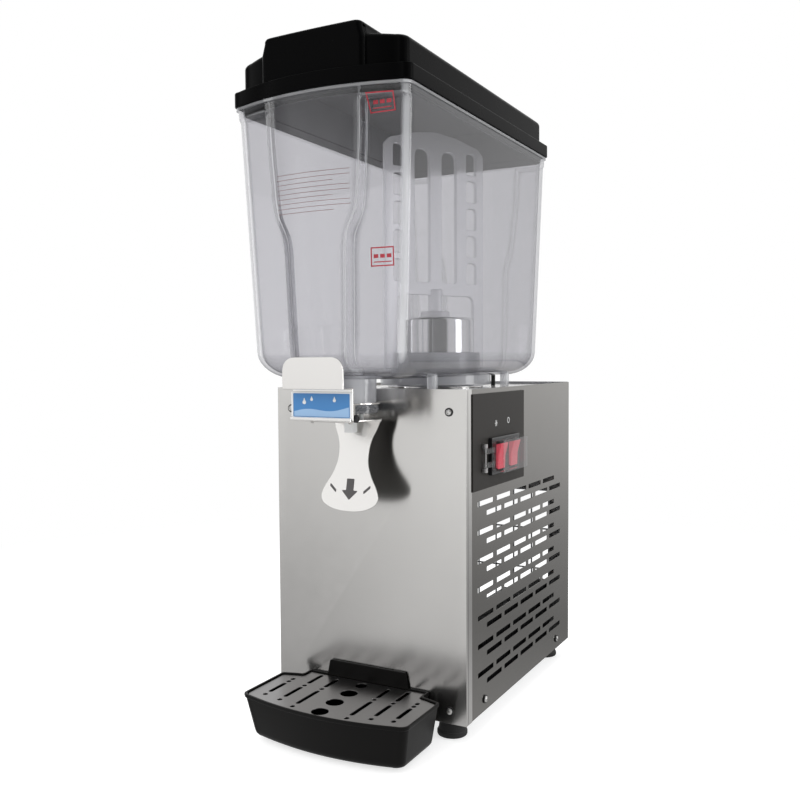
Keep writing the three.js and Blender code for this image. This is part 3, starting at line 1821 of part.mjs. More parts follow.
// Tap pieces that stand on the outlet's own axis, and the bracket that carries the lever
const outlet = new THREE.Group();
outlet.position.set(0, tapY, 0);
outlet.add(
  named("valve_plunger", makePlunger(), "white"),
  named("valve_seal", makeValveSeal(), "silicone"),
  named("valve_spring", makeSpring(), "polished"),
  named("spout_nozzle", makeNozzle(), "white"),
  named("spout_nut", makeNut(), "clear"),
);
const tap = new THREE.Group();
tap.add(
  outlet,
  named("tap_bracket", makeBracket(), "brushed"),
  named("sign_plate", makeSign(), "blue"),
  named("lever_pin", makeLeverPin(), "blackPlastic"),
  named("push_lever", makeLever(), "brushed"),
);

// Drip tray with its grille and runners
const drip = new THREE.Group();
drip.add(
  named("drip_tray", makeTray(), "blackPlastic"),
  named("drip_grille", makeGrille(), "brushed"),
  named("tray_runner_left", makeRunner(-1), "zinc"),
  named("tray_runner_right", makeRunner(1), "zinc"),
);

const dispenser = new THREE.Group();
dispenser.add(cabinet, canGroup, bowl, tap, drip);
const reachRight = coverTopX - halfWidth;
const reachLeft = screwHeadHeight + seatGap;
const reachBack = cabinetDepth + glandReach;
dispenser.position.set((reachLeft - reachRight) / 2, -(reachBack - lidBow) / 2, 0);

const part = new THREE.Group();
part.add(dispenser);
export default part;
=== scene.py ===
# %% [markdown]
# # Cold beverage dispenser
# A steel cabinet cools a clear bowl of drink through a can that stands up into it. A paddle turns round the can,
# and a lever under the bowl's front opens the valve.
#
# The imported solids are the frame of this scene: they hold every body, node and joint at real size, in metres. The
# scene loads them first and never moves a node, so the joints go on working. Each piece below is a finer mesh that
# stands for one node and rides on its body.

# %% Load the frame
import json
import math
import bpy
import bmesh
from mathutils import Matrix, Vector


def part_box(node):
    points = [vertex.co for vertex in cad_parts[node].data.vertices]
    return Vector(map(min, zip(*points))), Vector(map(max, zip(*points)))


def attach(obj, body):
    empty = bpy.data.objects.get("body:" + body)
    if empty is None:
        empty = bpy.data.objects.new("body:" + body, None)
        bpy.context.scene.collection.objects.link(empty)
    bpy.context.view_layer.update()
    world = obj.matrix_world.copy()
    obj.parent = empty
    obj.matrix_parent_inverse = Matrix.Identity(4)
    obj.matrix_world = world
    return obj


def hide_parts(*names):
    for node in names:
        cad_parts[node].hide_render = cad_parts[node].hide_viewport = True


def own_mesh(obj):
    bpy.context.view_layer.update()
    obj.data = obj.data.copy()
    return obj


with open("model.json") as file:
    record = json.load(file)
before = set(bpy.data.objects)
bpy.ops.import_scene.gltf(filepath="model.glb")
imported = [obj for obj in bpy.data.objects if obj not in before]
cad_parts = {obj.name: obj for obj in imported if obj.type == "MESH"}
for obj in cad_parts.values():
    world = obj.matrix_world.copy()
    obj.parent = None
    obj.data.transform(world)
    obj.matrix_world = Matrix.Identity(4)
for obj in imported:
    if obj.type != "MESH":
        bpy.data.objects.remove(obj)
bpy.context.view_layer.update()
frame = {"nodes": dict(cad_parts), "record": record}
print("nodes in the frame:", len(frame["nodes"]))

# %% [markdown]
# ## Places
# A drawing of this object counts in millimetres from the middle of the case's front face, and Blender counts in
# metres. One small function turns the first into the second. Typing metres everywhere would work too, but
# millimetres can be held against the drawing, and a zero is harder to slip.

# %% Places and look-ups
MM = 0.001
panel_low, panel_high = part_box("front_panel")
MIDDLE_X, FRONT_Y = (panel_low[0] + panel_high[0]) / 2, panel_low[1]
RECORD = frame["record"]
BODY_OF = {node: body for body, nodes in RECORD["behaviour"]["bodies"].items() for node in nodes}


def at(x, y, z):
    return Vector((MIDDLE_X + x * MM, FRONT_Y + y * MM, z * MM))


def span_mm(node):
    """A node's box in millimetres from the middle of the case's front face."""
    low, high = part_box(node)
    return [((low[i] - start) / MM, (high[i] - start) / MM) for i, start in enumerate((MIDDLE_X, FRONT_Y, 0))]


print("the front panel spans", [[round(end, 1) for end in pair] for pair in span_mm("front_panel")], "mm")

# %% [markdown]
# ## Mesh tools
# Most parts here are pressed sheets, moulded shells or turned parts. Each can be seen as a row of cross sections
# with a skin between them, so one loft makes most of them, a turned form is a loft of circles, and a plate is an
# outline with holes. Modelling each by hand gives the same shapes, but a script can measure a loft and build it
# again.
#
# The function called piece finishes each of them: it smooths the mesh up to an angle, weighs the normals by the
# size of the faces so that flat faces stay flat beside a rounded edge, and ties it to its node and body.

# %% Mesh tools
QUARTER = math.pi / 2


def run(first, last, steps):
    """Evenly spaced values, both ends among them."""
    return [first + (last - first) * i / steps for i in range(steps + 1)]


def arc(x, y, radius, first, last, steps):
    """Points on a circle from one angle to another, both ends among them."""
    return [(x + radius * math.cos(a), y + radius * math.sin(a)) for a in run(first, last, steps)]


def circle(x, y, radius, sides):
    return arc(x, y, radius, 0, 2 * math.pi, sides)[:-1]


def level(points, z):
    return [(x, y, z) for x, y in points]


def placed(name, data):
    """A new object in the scene that holds the data."""
    obj = bpy.data.objects.new(name, data)
    bpy.context.scene.collection.objects.link(obj)
    return obj


def evaluated(obj):
    """A copy of the object's mesh with its modifiers worked in."""
    bpy.context.view_layer.update()
    return bpy.data.meshes.new_from_object(obj.evaluated_get(bpy.context.evaluated_depsgraph_get()))


def applied(obj):
    """The same, and the object gone."""
    mesh = evaluated(obj)
    bpy.data.objects.remove(obj)
    return mesh


def freed(form, name):
    """The mesh of a bmesh, which is no longer needed."""
    mesh = bpy.data.meshes.new(name)
    form.to_mesh(mesh)
    form.free()
    return mesh


def mesh_of(points, faces=(), edges=()):
    mesh = bpy.data.meshes.new("form")
    mesh.from_pydata([at(*p) for p in points], edges, faces)
    mesh.update()
    return mesh


def loft(rings, low_cap=True, high_cap=True):
    """Rings of equal count, anticlockwise from above; each next ring carries the surface on."""
    count = len(rings[0])
    faces = []
    for start in range(0, (len(rings) - 1) * count, count):
        for i in range(count):
            a, b = start + i, start + (i + 1) % count
            faces.append((a, b, b + count, a + count))
    if low_cap:
        faces.append(tuple(reversed(range(count))))
    if high_cap:
        faces.append(tuple(range((len(rings) - 1) * count, len(rings) * count)))
    return mesh_of([p for ring in rings for p in ring], faces)


def turned(pairs, x=0, y=0, sides=96):
    """A turned form round an upright axis from [radius, height] pairs; it is a tube if they end where they began."""
    solid = pairs[0] != pairs[-1]
    return loft([level(circle(x, y, radius, sides), z) for radius, z in pairs], solid, solid)


def drum(axis, low, high, centre, radius, edge=0.4, sides=40, bore=0):
    """A round bar along x or z with softened rims, and a bore if it has one."""
    profile = [(radius - edge, low), (radius, low + edge), (radius, high - edge), (radius - edge, high)]
    if bore:
        profile = [*profile, (bore, high), (bore, low), profile[0]]
    rings = [[(h, u, v) if axis == "x" else (u, v, h) for u, v in circle(*centre, r, sides)] for r, h in profile]
    return loft(rings, not bore, not bore)


def slab(x0, x1, y0, y1, z0, z1, edge=0.5, segments=2):
    """A block with every edge rounded."""
    form = bmesh.new()
    bmesh.ops.create_cube(form, size=1)
    size = Vector((x1 - x0, y1 - y0, z1 - z0)) * MM
    place = Matrix.Translation(at((x0 + x1) / 2, (y0 + y1) / 2, (z0 + z1) / 2))
    bmesh.ops.transform(form, matrix=place @ Matrix.Diagonal((*size, 1)), verts=form.verts)
    bmesh.ops.bevel(form, geom=form.edges[:], offset=edge * MM, segments=segments, profile=0.5, affect="EDGES")
    return freed(form, "slab")


def area_of(loop):
    return sum(a[0] * b[1] - b[0] * a[1] for a, b in zip(loop, loop[1:] + loop[:1])) / 2


def plate(outline, holes, thickness, edge, matrix):
    """A flat sheet with holes and rounded rims. Its outline lies in the sheet's own x and y."""
    curve = bpy.data.curves.new("plate", "CURVE")
    curve.dimensions = "2D"
    curve.fill_mode = "BOTH"
    curve.extrude = (thickness / 2 - edge) * MM
    curve.bevel_depth = edge * MM
    curve.bevel_resolution = 1
    curve.offset = -edge * MM
    for index, loop in enumerate([outline, *holes]):
        wanted = 1 if index == 0 else -1
        spline = curve.splines.new("POLY")
        spline.points.add(len(loop) - 1)
        for point, (a, b) in zip(spline.points, loop if area_of(loop) * wanted > 0 else reversed(loop)):
            point.co = (a * MM, b * MM, 0, 1)
        spline.use_cyclic_u = True
    mesh = applied(placed("plate", curve))
    mesh.transform(matrix)
    return mesh


def upright(normal, x, y):
    """Stands a plate up: its y points up, and its outer face looks along normal."""
    up, n = Vector((0, 0, 1)), Vector(normal)
    return Matrix.Translation(at(x, y, 0)) @ Matrix((up.cross(n), up, n)).transposed().to_4x4()


def joined(meshes):
    form = bmesh.new()
    for mesh in meshes:
        form.from_mesh(mesh)
    bmesh.ops.remove_doubles(form, verts=form.verts, dist=2e-6)
    return freed(form, "joined")


def bevelled(mesh, edge, segments, angle):
    """The mesh with the edges rounded that are sharper than an angle."""
    obj = placed("bevelled", mesh)
    rounding = obj.modifiers.new("rounding", "BEVEL")
    rounding.width = edge * MM
    rounding.segments = segments
    rounding.limit_method = "ANGLE"
    rounding.angle_limit = math.radians(angle)
    return applied(obj)


def piece(name, mesh, material, node=None, body=None, angle=35):
    """A finished piece: it stands for a node, or rides on a body."""
    mesh.name = name
    mesh.materials.clear()
    mesh.materials.append(material)
    mesh.shade_smooth()
    mesh.set_sharp_from_angle(angle=math.radians(angle))
    obj = placed(name, mesh)
    evened = obj.modifiers.new("even_normals", "WEIGHTED_NORMAL")
    evened.keep_sharp = True
    evened.weight = 100
    obj.data = evaluated(obj)
    obj.modifiers.remove(evened)
    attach(obj, body or BODY_OF[node])
    if node:
        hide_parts(node)
    print(name, "for", node or body, len(obj.data.polygons), "faces")
    return obj


def soft_piece(name, node, edge, segments, material):
    """A piece that is the node's own form with its hard edges rounded."""
    form = bmesh.new()
    form.from_mesh(frame["nodes"][node].data)
    bmesh.ops.remove_doubles(form, verts=form.verts, dist=1e-6)
    flat = math.radians(1.5)
    bmesh.ops.dissolve_limit(form, angle_limit=flat, verts=form.verts, edges=form.edges, use_dissolve_boundaries=False)
    piece(name, bevelled(freed(form, "softened"), edge, segments, 32), material, node)

# %% [markdown]
# ## Node helpers
# Materials and Geometry Nodes are both trees of nodes joined by links. Written out, each node takes several lines,
# so these helpers add a node, fill its inputs and link them in one call. A modifier's inputs are set by the
# identifier of the socket, because two sockets may share a name.

# %% Node helpers
SOCKET_OF = {float: "NodeSocketFloat", int: "NodeSocketInt", tuple: "NodeSocketVector"}


def fill(tree, socket, value):
    """Links a socket to an input, or types a plain value into it."""
    if isinstance(value, bpy.types.NodeSocket):
        tree.links.new(value, socket)
    else:
        socket.default_value = value


def add(tree, kind, inputs=None, **settings):
    """Adds a node and gives back its outputs."""
    fresh = tree.nodes.new(kind)
    for key, value in settings.items():
        setattr(fresh, key, value)
    for key, value in (inputs or {}).items():
        fill(tree, fresh.inputs[key], value)
    return fresh.outputs


def reckon(tree, operation, *values, **settings):
    """One step of arithmetic."""
    return add(tree, "ShaderNodeMath", dict(enumerate(values)), operation=operation, **settings)[0]


def ramp(tree, value, low=0.0, high=1.0, start=0.0, end=1.0):
    """A value carried from one range over to another, and held at its ends."""
    ends = {"From Min": low, "From Max": high, "To Min": start, "To Max": end}
    return add(tree, "ShaderNodeMapRange", {"Value": value, **ends})[0]


def noise(tree, place, scale, detail, roughness=0.5):
    values = {"Vector": place, "Scale": scale, "Detail": detail, "Roughness": roughness}
    return add(tree, "ShaderNodeTexNoise", values)["Fac"]


def node_group(name, kind, inputs, outputs, build):
    """A group of nodes. An input's default tells its kind, and build gives back a socket for each output."""
    tree = bpy.data.node_groups.new(name, kind)
    ids = {}
    for label, value in inputs.items():
        plain = type(value) in SOCKET_OF
        socket = tree.interface.new_socket(label, socket_type=SOCKET_OF[type(value)] if plain else value)
        ids[label] = socket.identifier
        if plain:
            socket.default_value = value
    for label, socket_type in outputs.items():
        tree.interface.new_socket(label, in_out="OUTPUT", socket_type=socket_type)
    results = build(tree, add(tree, "NodeGroupInput"))
    out = tree.nodes.new("NodeGroupOutput")
    for label, socket in zip(outputs, results):
        tree.links.new(socket, out.inputs[label])
    print("group", name, "with", len(tree.nodes), "nodes")
    return tree, ids


def grown(group, values, base=None):
    """Runs a geometry group on a base mesh and gives back the plain mesh."""
    tree, ids = group
    obj = placed(tree.name, base or bpy.data.meshes.new(tree.name))
    modifier = obj.modifiers.new(tree.name, "NODES")
    modifier.node_group = tree
    for label, value in values.items():
        modifier[ids[label]] = value
    return applied(obj)

# %% [markdown]
# ## Patterns that the materials share
# Brushed steel has fine streaks, moulded plastic a faint mottle, handled edges some wear and level faces a little
# dust. The corners of upright walls get a mask for a painted highlight. Each pattern is a group with named inputs,
# and it gives out values only, so any material can use it. A painted image could show the same, but a pattern made
# of nodes stays sharp from close by and needs no unwrapping.

# %% Shader groups
def brushed_grain(tree, given):
    """Fine streaks along one way over broad faint clouds."""
    place = add(tree, "ShaderNodeTexCoord")["Object"]
    lay = add(tree, "ShaderNodeMapping", {"Vector": place, "Scale": given["Stretch"]})[0]
    fine = noise(tree, lay, 60.0, 6.0, 0.7)
    return reckon(tree, "MULTIPLY", reckon(tree, "ADD", fine, noise(tree, place, 9.0, 3.0)), 0.5), fine


def moulded_grain(tree, given):
    """Faint clouds for the tone, and fine cells for the relief."""
    place = add(tree, "ShaderNodeTexCoord")["Object"]
    cells = add(tree, "ShaderNodeTexVoronoi", {"Vector": place, "Scale": given["Scale"]})
    return noise(tree, place, 30.0, 4.0), cells["Distance"]


def spotted(tree, given, where, scale, detail):
    """A mask broken up by noise."""
    spots = noise(tree, add(tree, "ShaderNodeTexCoord")["Object"], scale, detail)
    return [reckon(tree, "MULTIPLY", reckon(tree, "MULTIPLY", where, spots), given["Amount"])]


def edge_wear(tree, given):
    return spotted(tree, given, ramp(tree, add(tree, "ShaderNodeNewGeometry")["Pointiness"], 0.52, 0.6), 70.0, 5.0)


def settled_dust(tree, given):
    """Strongest on faces that look up."""
    split = add(tree, "ShaderNodeSeparateXYZ", {0: add(tree, "ShaderNodeNewGeometry")["Normal"]})
    return spotted(tree, given, ramp(tree, split["Z"], 0.4, 1.0), 45.0, 8.0)


# A mask for painted highlights on the corners of clear walls.
def turned_corner(tree, given):
    """Strongest where an upright wall turns a corner, and nothing on walls that face one way."""
    split = add(tree, "ShaderNodeSeparateXYZ", {0: add(tree, "ShaderNodeTexCoord")["Normal"]})
    diagonal = reckon(tree, "ABSOLUTE", reckon(tree, "MULTIPLY", split["X"], split["Y"]))
    return [reckon(tree, "MULTIPLY", ramp(tree, diagonal, 0.28, 0.46), given["Amount"])]


def shader_group(build, outputs, **inputs):
    return node_group(build.__name__, "ShaderNodeTree", inputs, dict.fromkeys(outputs, "NodeSocketFloat"), build)[0]


BRUSHED_GRAIN = shader_group(brushed_grain, ["Streak", "Height"], Stretch=(1.0, 1.0, 1.0))
MOULDED_GRAIN = shader_group(moulded_grain, ["Tone", "Height"], Scale=900.0)
EDGE_WEAR = shader_group(edge_wear, ["Mask"], Amount=0.5)
SETTLED_DUST = shader_group(settled_dust, ["Mask"], Amount=0.2)
CORNER_HIGHLIGHT_MASK = shader_group(turned_corner, ["Mask"], Amount=0.5)

# %% [markdown]
# ## Two recipes for materials
# The first recipe is for steel, paint and plastic, which stop light at the surface. The second is for the clear
# mouldings. Real light bends through both faces of each wall, which takes many bounces to trace and leaves noise.
# Here each face only tints what is seen through it, more so at a slant, and a mirror shine grows towards the edges,
# which looks the same on thin walls and costs little. The darker tint at a slant is partly painted shade, and the
# walls also get painted shade in each crease and painted highlights on raised edges and upright corners.

# %% Material recipes
WHITE_LIGHT = (1, 1, 1, 1)


def blank_tree(owner, output):
    """Empties the nodes of a material or of the world. Gives back the tree and the surface to fill."""
    owner.use_nodes = True
    owner.node_tree.nodes.clear()
    return owner.node_tree, owner.node_tree.nodes.new(output).inputs["Surface"]


def pattern(tree, group, **values):
    return [*add(tree, "ShaderNodeGroup", values, node_tree=group)]


def tint(color, factor):
    return (*[min(1.0, channel * factor) for channel in color], 1.0)


def blended(tree, factor, a, b):
    """Two colours, mixed."""
    return add(tree, "ShaderNodeMix", {0: factor, 6: a, 7: b}, data_type="RGBA")[2]


def mixed(tree, factor, a, b):
    """Two shaders, mixed."""
    return add(tree, "ShaderNodeMixShader", {0: factor, 1: a, 2: b})[0]


def opaque(
    name, color, metallic, roughness, stretch=None, tone=0.08, span=0.1, bump=0.05, wear=0.4, dust=0.1, scale=900.0,
    specular=0.5, **more
):
    """Steel when it has a stretch for its brushing, moulded plastic or paint otherwise."""
    material = bpy.data.materials.new(name)
    tree, surface = blank_tree(material, "ShaderNodeOutputMaterial")
    if stretch:
        value, height = pattern(tree, BRUSHED_GRAIN, Stretch=stretch)
    else:
        value, height = pattern(tree, MOULDED_GRAIN, Scale=scale)
    base = blended(tree, value, tint(color, 1 - tone), tint(color, 1 + tone))
    worn = tint(color, 1.5 if metallic > 0.5 else 2.2)
    base = blended(tree, pattern(tree, EDGE_WEAR, Amount=wear)[0], base, worn)
    base = blended(tree, pattern(tree, SETTLED_DUST, Amount=dust)[0], base, (0.55, 0.54, 0.52, 1))
    rough = ramp(tree, value, start=roughness - span / 2, end=roughness + span / 2)
    relief = add(tree, "ShaderNodeBump", {"Strength": bump, "Distance": 0.0003, "Height": height})[0]
    values = {"Base Color": base, "Metallic": metallic, "Roughness": rough, "Normal": relief}
    if "Anisotropic" in more:
        values["Tangent"] = add(tree, "ShaderNodeCombineXYZ", {"X": 0.0, "Y": 0.0, "Z": 1.0})[0]
    values.update(more)
    fill(tree, surface, add(tree, "ShaderNodeBsdfPrincipled", {**values, "Specular IOR Level": specular})[0])
    return material


def clear(
    name, face_on, slanted, haze, roughness=0.06, haze_color=(0.86, 0.87, 0.89, 1), painted_edge_lines=0.0, corners=0.0
):
    """A clear wall: tinted see-through, mirror shine, a little haze, painted crease shade, painted edge and corner
    highlights.
    """
    material = bpy.data.materials.new(name)
    tree, surface = blank_tree(material, "ShaderNodeOutputMaterial")
    shape = add(tree, "ShaderNodeNewGeometry")
    # Darker at a slant: partly the longer path through the plastic, partly painted shade for what bent light shows at
    # grazing angles.
    slant = ramp(tree, add(tree, "ShaderNodeLayerWeight", {"Blend": 0.1})["Facing"], 0.045, 0.5)
    # Painted shade in each crease and a painted highlight on raised edges, both found by pointiness.
    painted_crease_shade = ramp(tree, shape["Pointiness"], 0.49, 0.44, end=painted_edge_lines)
    painted_ridge_highlight = ramp(tree, shape["Pointiness"], 0.51, 0.56, end=painted_edge_lines * 0.5)
    # A painted highlight on upright corners: it whitens what is seen through the wall and makes the wall paler.
    corner = pattern(tree, CORNER_HIGHLIGHT_MASK, Amount=corners)[0]
    seen = blended(tree, slant, face_on, slanted)
    seen = blended(tree, painted_crease_shade, seen, (0.2, 0.2, 0.22, 1))
    seen = blended(tree, corner, seen, WHITE_LIGHT)
    through = add(tree, "ShaderNodeBsdfTransparent", {"Color": seen})[0]
    lit = add(tree, "ShaderNodeBsdfDiffuse", {"Color": haze_color})[0]
    passed = add(tree, "ShaderNodeBsdfTranslucent", {"Color": haze_color})[0]
    # The painted edge and corner highlights also make the wall paler where they lie.
    pale = reckon(tree, "ADD", painted_ridge_highlight, reckon(tree, "MULTIPLY", corner, 0.4))
    cover = reckon(tree, "ADD", ramp(tree, slant, start=haze[0], end=haze[1]), pale, use_clamp=True)
    body = mixed(tree, cover, through, mixed(tree, 0.5, lit, passed))
    tone = pattern(tree, MOULDED_GRAIN, Scale=160.0)[0]
    relief = add(tree, "ShaderNodeBump", {"Strength": 0.012, "Distance": 0.0004, "Height": tone})[0]
    shine = add(tree, "ShaderNodeBsdfGlossy", {"Roughness": roughness, "Normal": relief})[0]
    outward = reckon(tree, "SUBTRACT", 1.0, shape["Backfacing"])
    edge = reckon(tree, "MULTIPLY", add(tree, "ShaderNodeFresnel", {"IOR": 1.55})[0], outward)
    fill(tree, surface, mixed(tree, edge, body, shine))
    return material

# %% [markdown]
# ## Materials
# Each finish is named for what it is on the object, or for the light or shade that is painted into it.
# The front and the sides are one steel on the real case, but a side mirrors a darker part of the room, so it gets a
# darker colour: painted shade. The blacks differ in shine more than in colour: the lid is almost matt, the tray has a
# soft shine and the feet are rubber.

# %% Materials
def brushed(name, color, roughness, stretch, tone=0.03, span=0.06, dust=0.02, **more):
    """Bare steel with the marks of its brushing."""
    return opaque(name, color, 1.0, roughness, stretch, tone=tone, span=span, dust=dust, **more)


def ink(name, color, roughness=0.5, tone=0.08, metallic=0.0):
    """Print, too thin to wear and to gather dust."""
    return opaque(name, color, metallic, roughness, scale=1400.0, tone=tone, wear=0.0, dust=0.0)


LEVEL_STREAKS, UPRIGHT_STREAKS = (0.6, 0.6, 14.0), (12.0, 1.0, 0.6)
STEEL = brushed("brushed_steel", (0.62, 0.61, 0.595), 0.175, LEVEL_STREAKS, tone=0.05, wear=0.2, Anisotropic=0.8)
# The sides get a darker colour of the front's steel: painted shade for the darker room that they mirror.
SIDE_STEEL_PAINTED_SHADE = brushed("side_steel", (0.25, 0.242, 0.23), 0.24, LEVEL_STREAKS, tone=0.06, wear=0.2, Anisotropic=0.7)
TAP_STEEL = brushed("tap_steel", (0.80, 0.785, 0.765), 0.2, (10.0, 1.0, 1.0))
LEVER_STEEL = brushed("lever_steel", (0.84, 0.825, 0.805), 0.24, UPRIGHT_STREAKS)
# The back of the lever blade: the same steel nearly black, painted shade for the gap behind it.
LEVER_BACK_PAINTED_SHADE = brushed("lever_back", (0.12, 0.118, 0.115), 0.3, UPRIGHT_STREAKS, dust=0.0)
GRILLE_STEEL = brushed("grille_steel", (0.27, 0.265, 0.265), 0.3, (1.0, 10.0, 1.0), tone=0.06, span=0.1)
CHROME = brushed("chrome", (0.82, 0.82, 0.82), 0.1, (1.0, 1.0, 3.0), tone=0.02, span=0.04, dust=0.0, bump=0.01)
SCREW_STEEL = opaque("screw_steel", (0.72, 0.715, 0.7), 1.0, 0.3, scale=300.0, tone=0.1, wear=0.2, dust=0.0)
ZINC = opaque("zinc", (0.5, 0.51, 0.52), 0.9, 0.5, scale=300.0, tone=0.15)
COPPER = opaque("copper", (0.62, 0.33, 0.2), 1.0, 0.3, scale=300.0, tone=0.15)
DARK_PLATE = opaque(
    "dark_plate", (0.036, 0.034, 0.032), 0.0, 0.36, (0.6, 0.6, 12.0), tone=0.12, wear=0.15, dust=0.0, specular=0.04
)
BLACK = opaque(
    "black_plastic", (0.003, 0.003, 0.0033), 0.0, 0.26, scale=1500.0, tone=0.15, wear=0.1, dust=0.0, specular=0.16
)
LID_BLACK = opaque(
    "lid_plastic", (0.0015, 0.0015, 0.0016), 0.0, 0.28, scale=1500.0, tone=0.15, wear=0.08, dust=0.0, bump=0.03,
    specular=0.025,
)
# Faces inside the lid: a pale grey that is painted light coming up through the bowl.
LID_INSIDE_PAINTED_LIGHT = opaque(
    "lid_inside", (0.2, 0.2, 0.206), 0.0, 0.6, scale=300.0, tone=0.15, wear=0.0, dust=0.0, specular=0.1
)
TRAY_BLACK = opaque(
    "tray_plastic", (0.004, 0.0037, 0.0035), 0.0, 0.36, scale=1100.0, tone=0.15, bump=0.1, wear=0.12, dust=0.004,
    specular=0.12,
)
GLOSS_BLACK = opaque("gloss_plastic", (0.006, 0.006, 0.007), 0.0, 0.18, scale=1500.0, bump=0.02, wear=0.2, dust=0.01)
RUBBER = opaque("rubber", (0.012, 0.012, 0.012), 0.0, 0.78, scale=700.0, bump=0.2)
WHITE = opaque("white_plastic", (0.80, 0.81, 0.81), 0.0, 0.3, scale=1200.0, tone=0.03, wear=0.0, dust=0.04)
FOAM = opaque("foam", (0.7, 0.63, 0.45), 0.0, 0.9, scale=500.0, bump=0.4, wear=0.0)
# Black paint for the parts inside the case, and painted shade on the rings round the screw heads.
BLACK_PAINT_AND_SHADE = opaque("black_paint", (0.012, 0.012, 0.013), 0.1, 0.4, scale=400.0, bump=0.08, wear=0.1, dust=0.03)
SILICONE = opaque("silicone", (0.62, 0.63, 0.64), 0.0, 0.55, wear=0.0)
BLUE = ink("blue_print", (0.052, 0.215, 0.5), 0.35)
PALE_PRINT = ink("pale_print", (0.30, 0.48, 0.72), 0.35)
MARK_WHITE = ink("white_print", (0.75, 0.76, 0.76))
MARK_RED = ink("red_print", (0.36, 0.02, 0.035), tone=0.2)
MARK_GREY = ink("grey_print", (0.17, 0.07, 0.075), tone=0.2)
MARK_DARK = ink("dark_print", (0.09, 0.085, 0.085), 0.4, 0.2, 0.2)
GLOW = {"Emission Color": (0.95, 0.12, 0.18, 1), "Emission Strength": 0.25, "Coat Weight": 0.5}
LIT_RED = opaque("lit_red", (0.62, 0.03, 0.06), 0.0, 0.22, tone=0.1, wear=0.1, dust=0.0, **GLOW)
# The bowl's clear wall, with painted shade in each crease and painted highlights on its edges and corners.
BOWL_CLEAR = clear(
    "bowl_clear", (0.908, 0.906, 0.918, 1), (0.26, 0.26, 0.28, 1), (0.01, 0.1), painted_edge_lines=0.7, corners=1.0
)
COVER_CLEAR = clear("cover_clear", (0.93, 0.93, 0.93, 1), (0.7, 0.72, 0.72, 1), (0.02, 0.1))
NUT_CLEAR = clear(
    "nut_clear", (0.62, 0.63, 0.65, 1), (0.3, 0.31, 0.33, 1), (0.22, 0.5), haze_color=(0.6, 0.61, 0.63, 1)
)
# The paddle's clear wall, with a little painted shade in each crease and painted highlights on raised edges.
PADDLE_CLEAR = clear(
    "paddle_clear", (0.97, 0.97, 0.98, 1), (0.8, 0.8, 0.82, 1), (0.4, 0.7), 0.15, (0.95, 0.95, 0.96, 1), painted_edge_lines=0.3
)
print(len(bpy.data.materials), "materials")

# %% [markdown]
# ## A punched sheet, made with Geometry Nodes
# The sides of the case are steel sheets with rows of punched slots, and each row is shifted from the last. A
# Boolean for every slot is slow and leaves rough edges. Instead a small rounded outline is laid on two grids of
# points, the sheet's rim is filled round all the outlines, and the flat result is extruded. The count, pitch and
# size are inputs, so one group makes any such sheet.

# %% Slotted sheet
GEOMETRY, MATERIAL, OBJECT = "NodeSocketGeometry", "NodeSocketMaterial", "NodeSocketObject"


def geometry_group(build, **inputs):
    """A group that gives the material to what build makes. An underscore in an input's name stands for a space."""
    def dressed(tree, given):
        return add(tree, "GeometryNodeSetMaterial", {"Geometry": build(tree, given), "Material": given["Material"]})

    labels = {label.replace("_", " "): value for label, value in inputs.items()}
    labels = {"Geometry": GEOMETRY, **labels, "Material": MATERIAL}
    return node_group(build.__name__, "GeometryNodeTree", labels, {"Geometry": GEOMETRY}, dressed)


def gathered(tree, *parts):
    """Several geometries as one."""
    gathering = tree.nodes.new("GeometryNodeJoinGeometry")
    for part in parts:
        tree.links.new(part, gathering.inputs[0])
    return gathering.outputs[0]


def copied(tree, **inputs):
    """Copies of a form on points, made real. The inputs are Points, Instance and Rotation."""
    spread = add(tree, "GeometryNodeInstanceOnPoints", inputs)[0]
    return add(tree, "GeometryNodeRealizeInstances", {"Geometry": spread})[0]


def slotted_sheet(tree, g):
    rectangle = "GeometryNodeCurvePrimitiveQuadrilateral"
    rim = add(tree, rectangle, {"Width": g["Length"], "Height": g["Height"]})[0]
    slot = add(tree, rectangle, {"Width": g["Slot Length"], "Height": g["Slot Height"]})[0]
    corners = {"Curve": slot, "Count": 3, "Radius": g["Slot Radius"]}
    soft = add(tree, "GeometryNodeFilletCurve", corners, mode="POLY")[0]
    wide = reckon(tree, "MULTIPLY", reckon(tree, "SUBTRACT", g["Columns"], 1.0), g["Pitch Along"])
    tall = reckon(tree, "MULTIPLY", reckon(tree, "SUBTRACT", g["Rows"], 1.0), g["Pitch Up"])
    counts = {"Size X": wide, "Size Y": tall, "Vertices X": g["Columns"], "Vertices Y": g["Rows"]}
    grid = add(tree, "GeometryNodeMeshGrid", counts)["Mesh"]
    first = add(tree, "GeometryNodeTransform", {"Geometry": grid, "Translation": g["Centre"]})[0]
    second = add(tree, "GeometryNodeTransform", {"Geometry": first, "Translation": g["Shift"]})[0]
    slots = copied(tree, Points=gathered(tree, first, second), Instance=soft)
    flat = add(tree, "GeometryNodeFillCurve", {"Curve": gathered(tree, slots, rim)})[0]
    thick = {"Mesh": flat, "Offset Scale": g["Thickness"], "Individual": False}
    raised = add(tree, "GeometryNodeExtrudeMesh", thick)["Mesh"]
    both = gathered(tree, raised, add(tree, "GeometryNodeFlipFaces", {"Mesh": flat})[0])
    return add(tree, "GeometryNodeMergeByDistance", {"Geometry": both, "Distance": 0.00001})[0]


SLOTTED_SHEET = geometry_group(
    slotted_sheet, Length=0.28, Height=0.31, Thickness=0.001, Slot_Length=0.038, Slot_Height=0.0048,
    Slot_Radius=0.001, Columns=5, Rows=7, Pitch_Along=0.045, Pitch_Up=0.027, Centre=(0.0, 0.0, 0.0),
    Shift=(0.0, 0.0, 0.0),
)

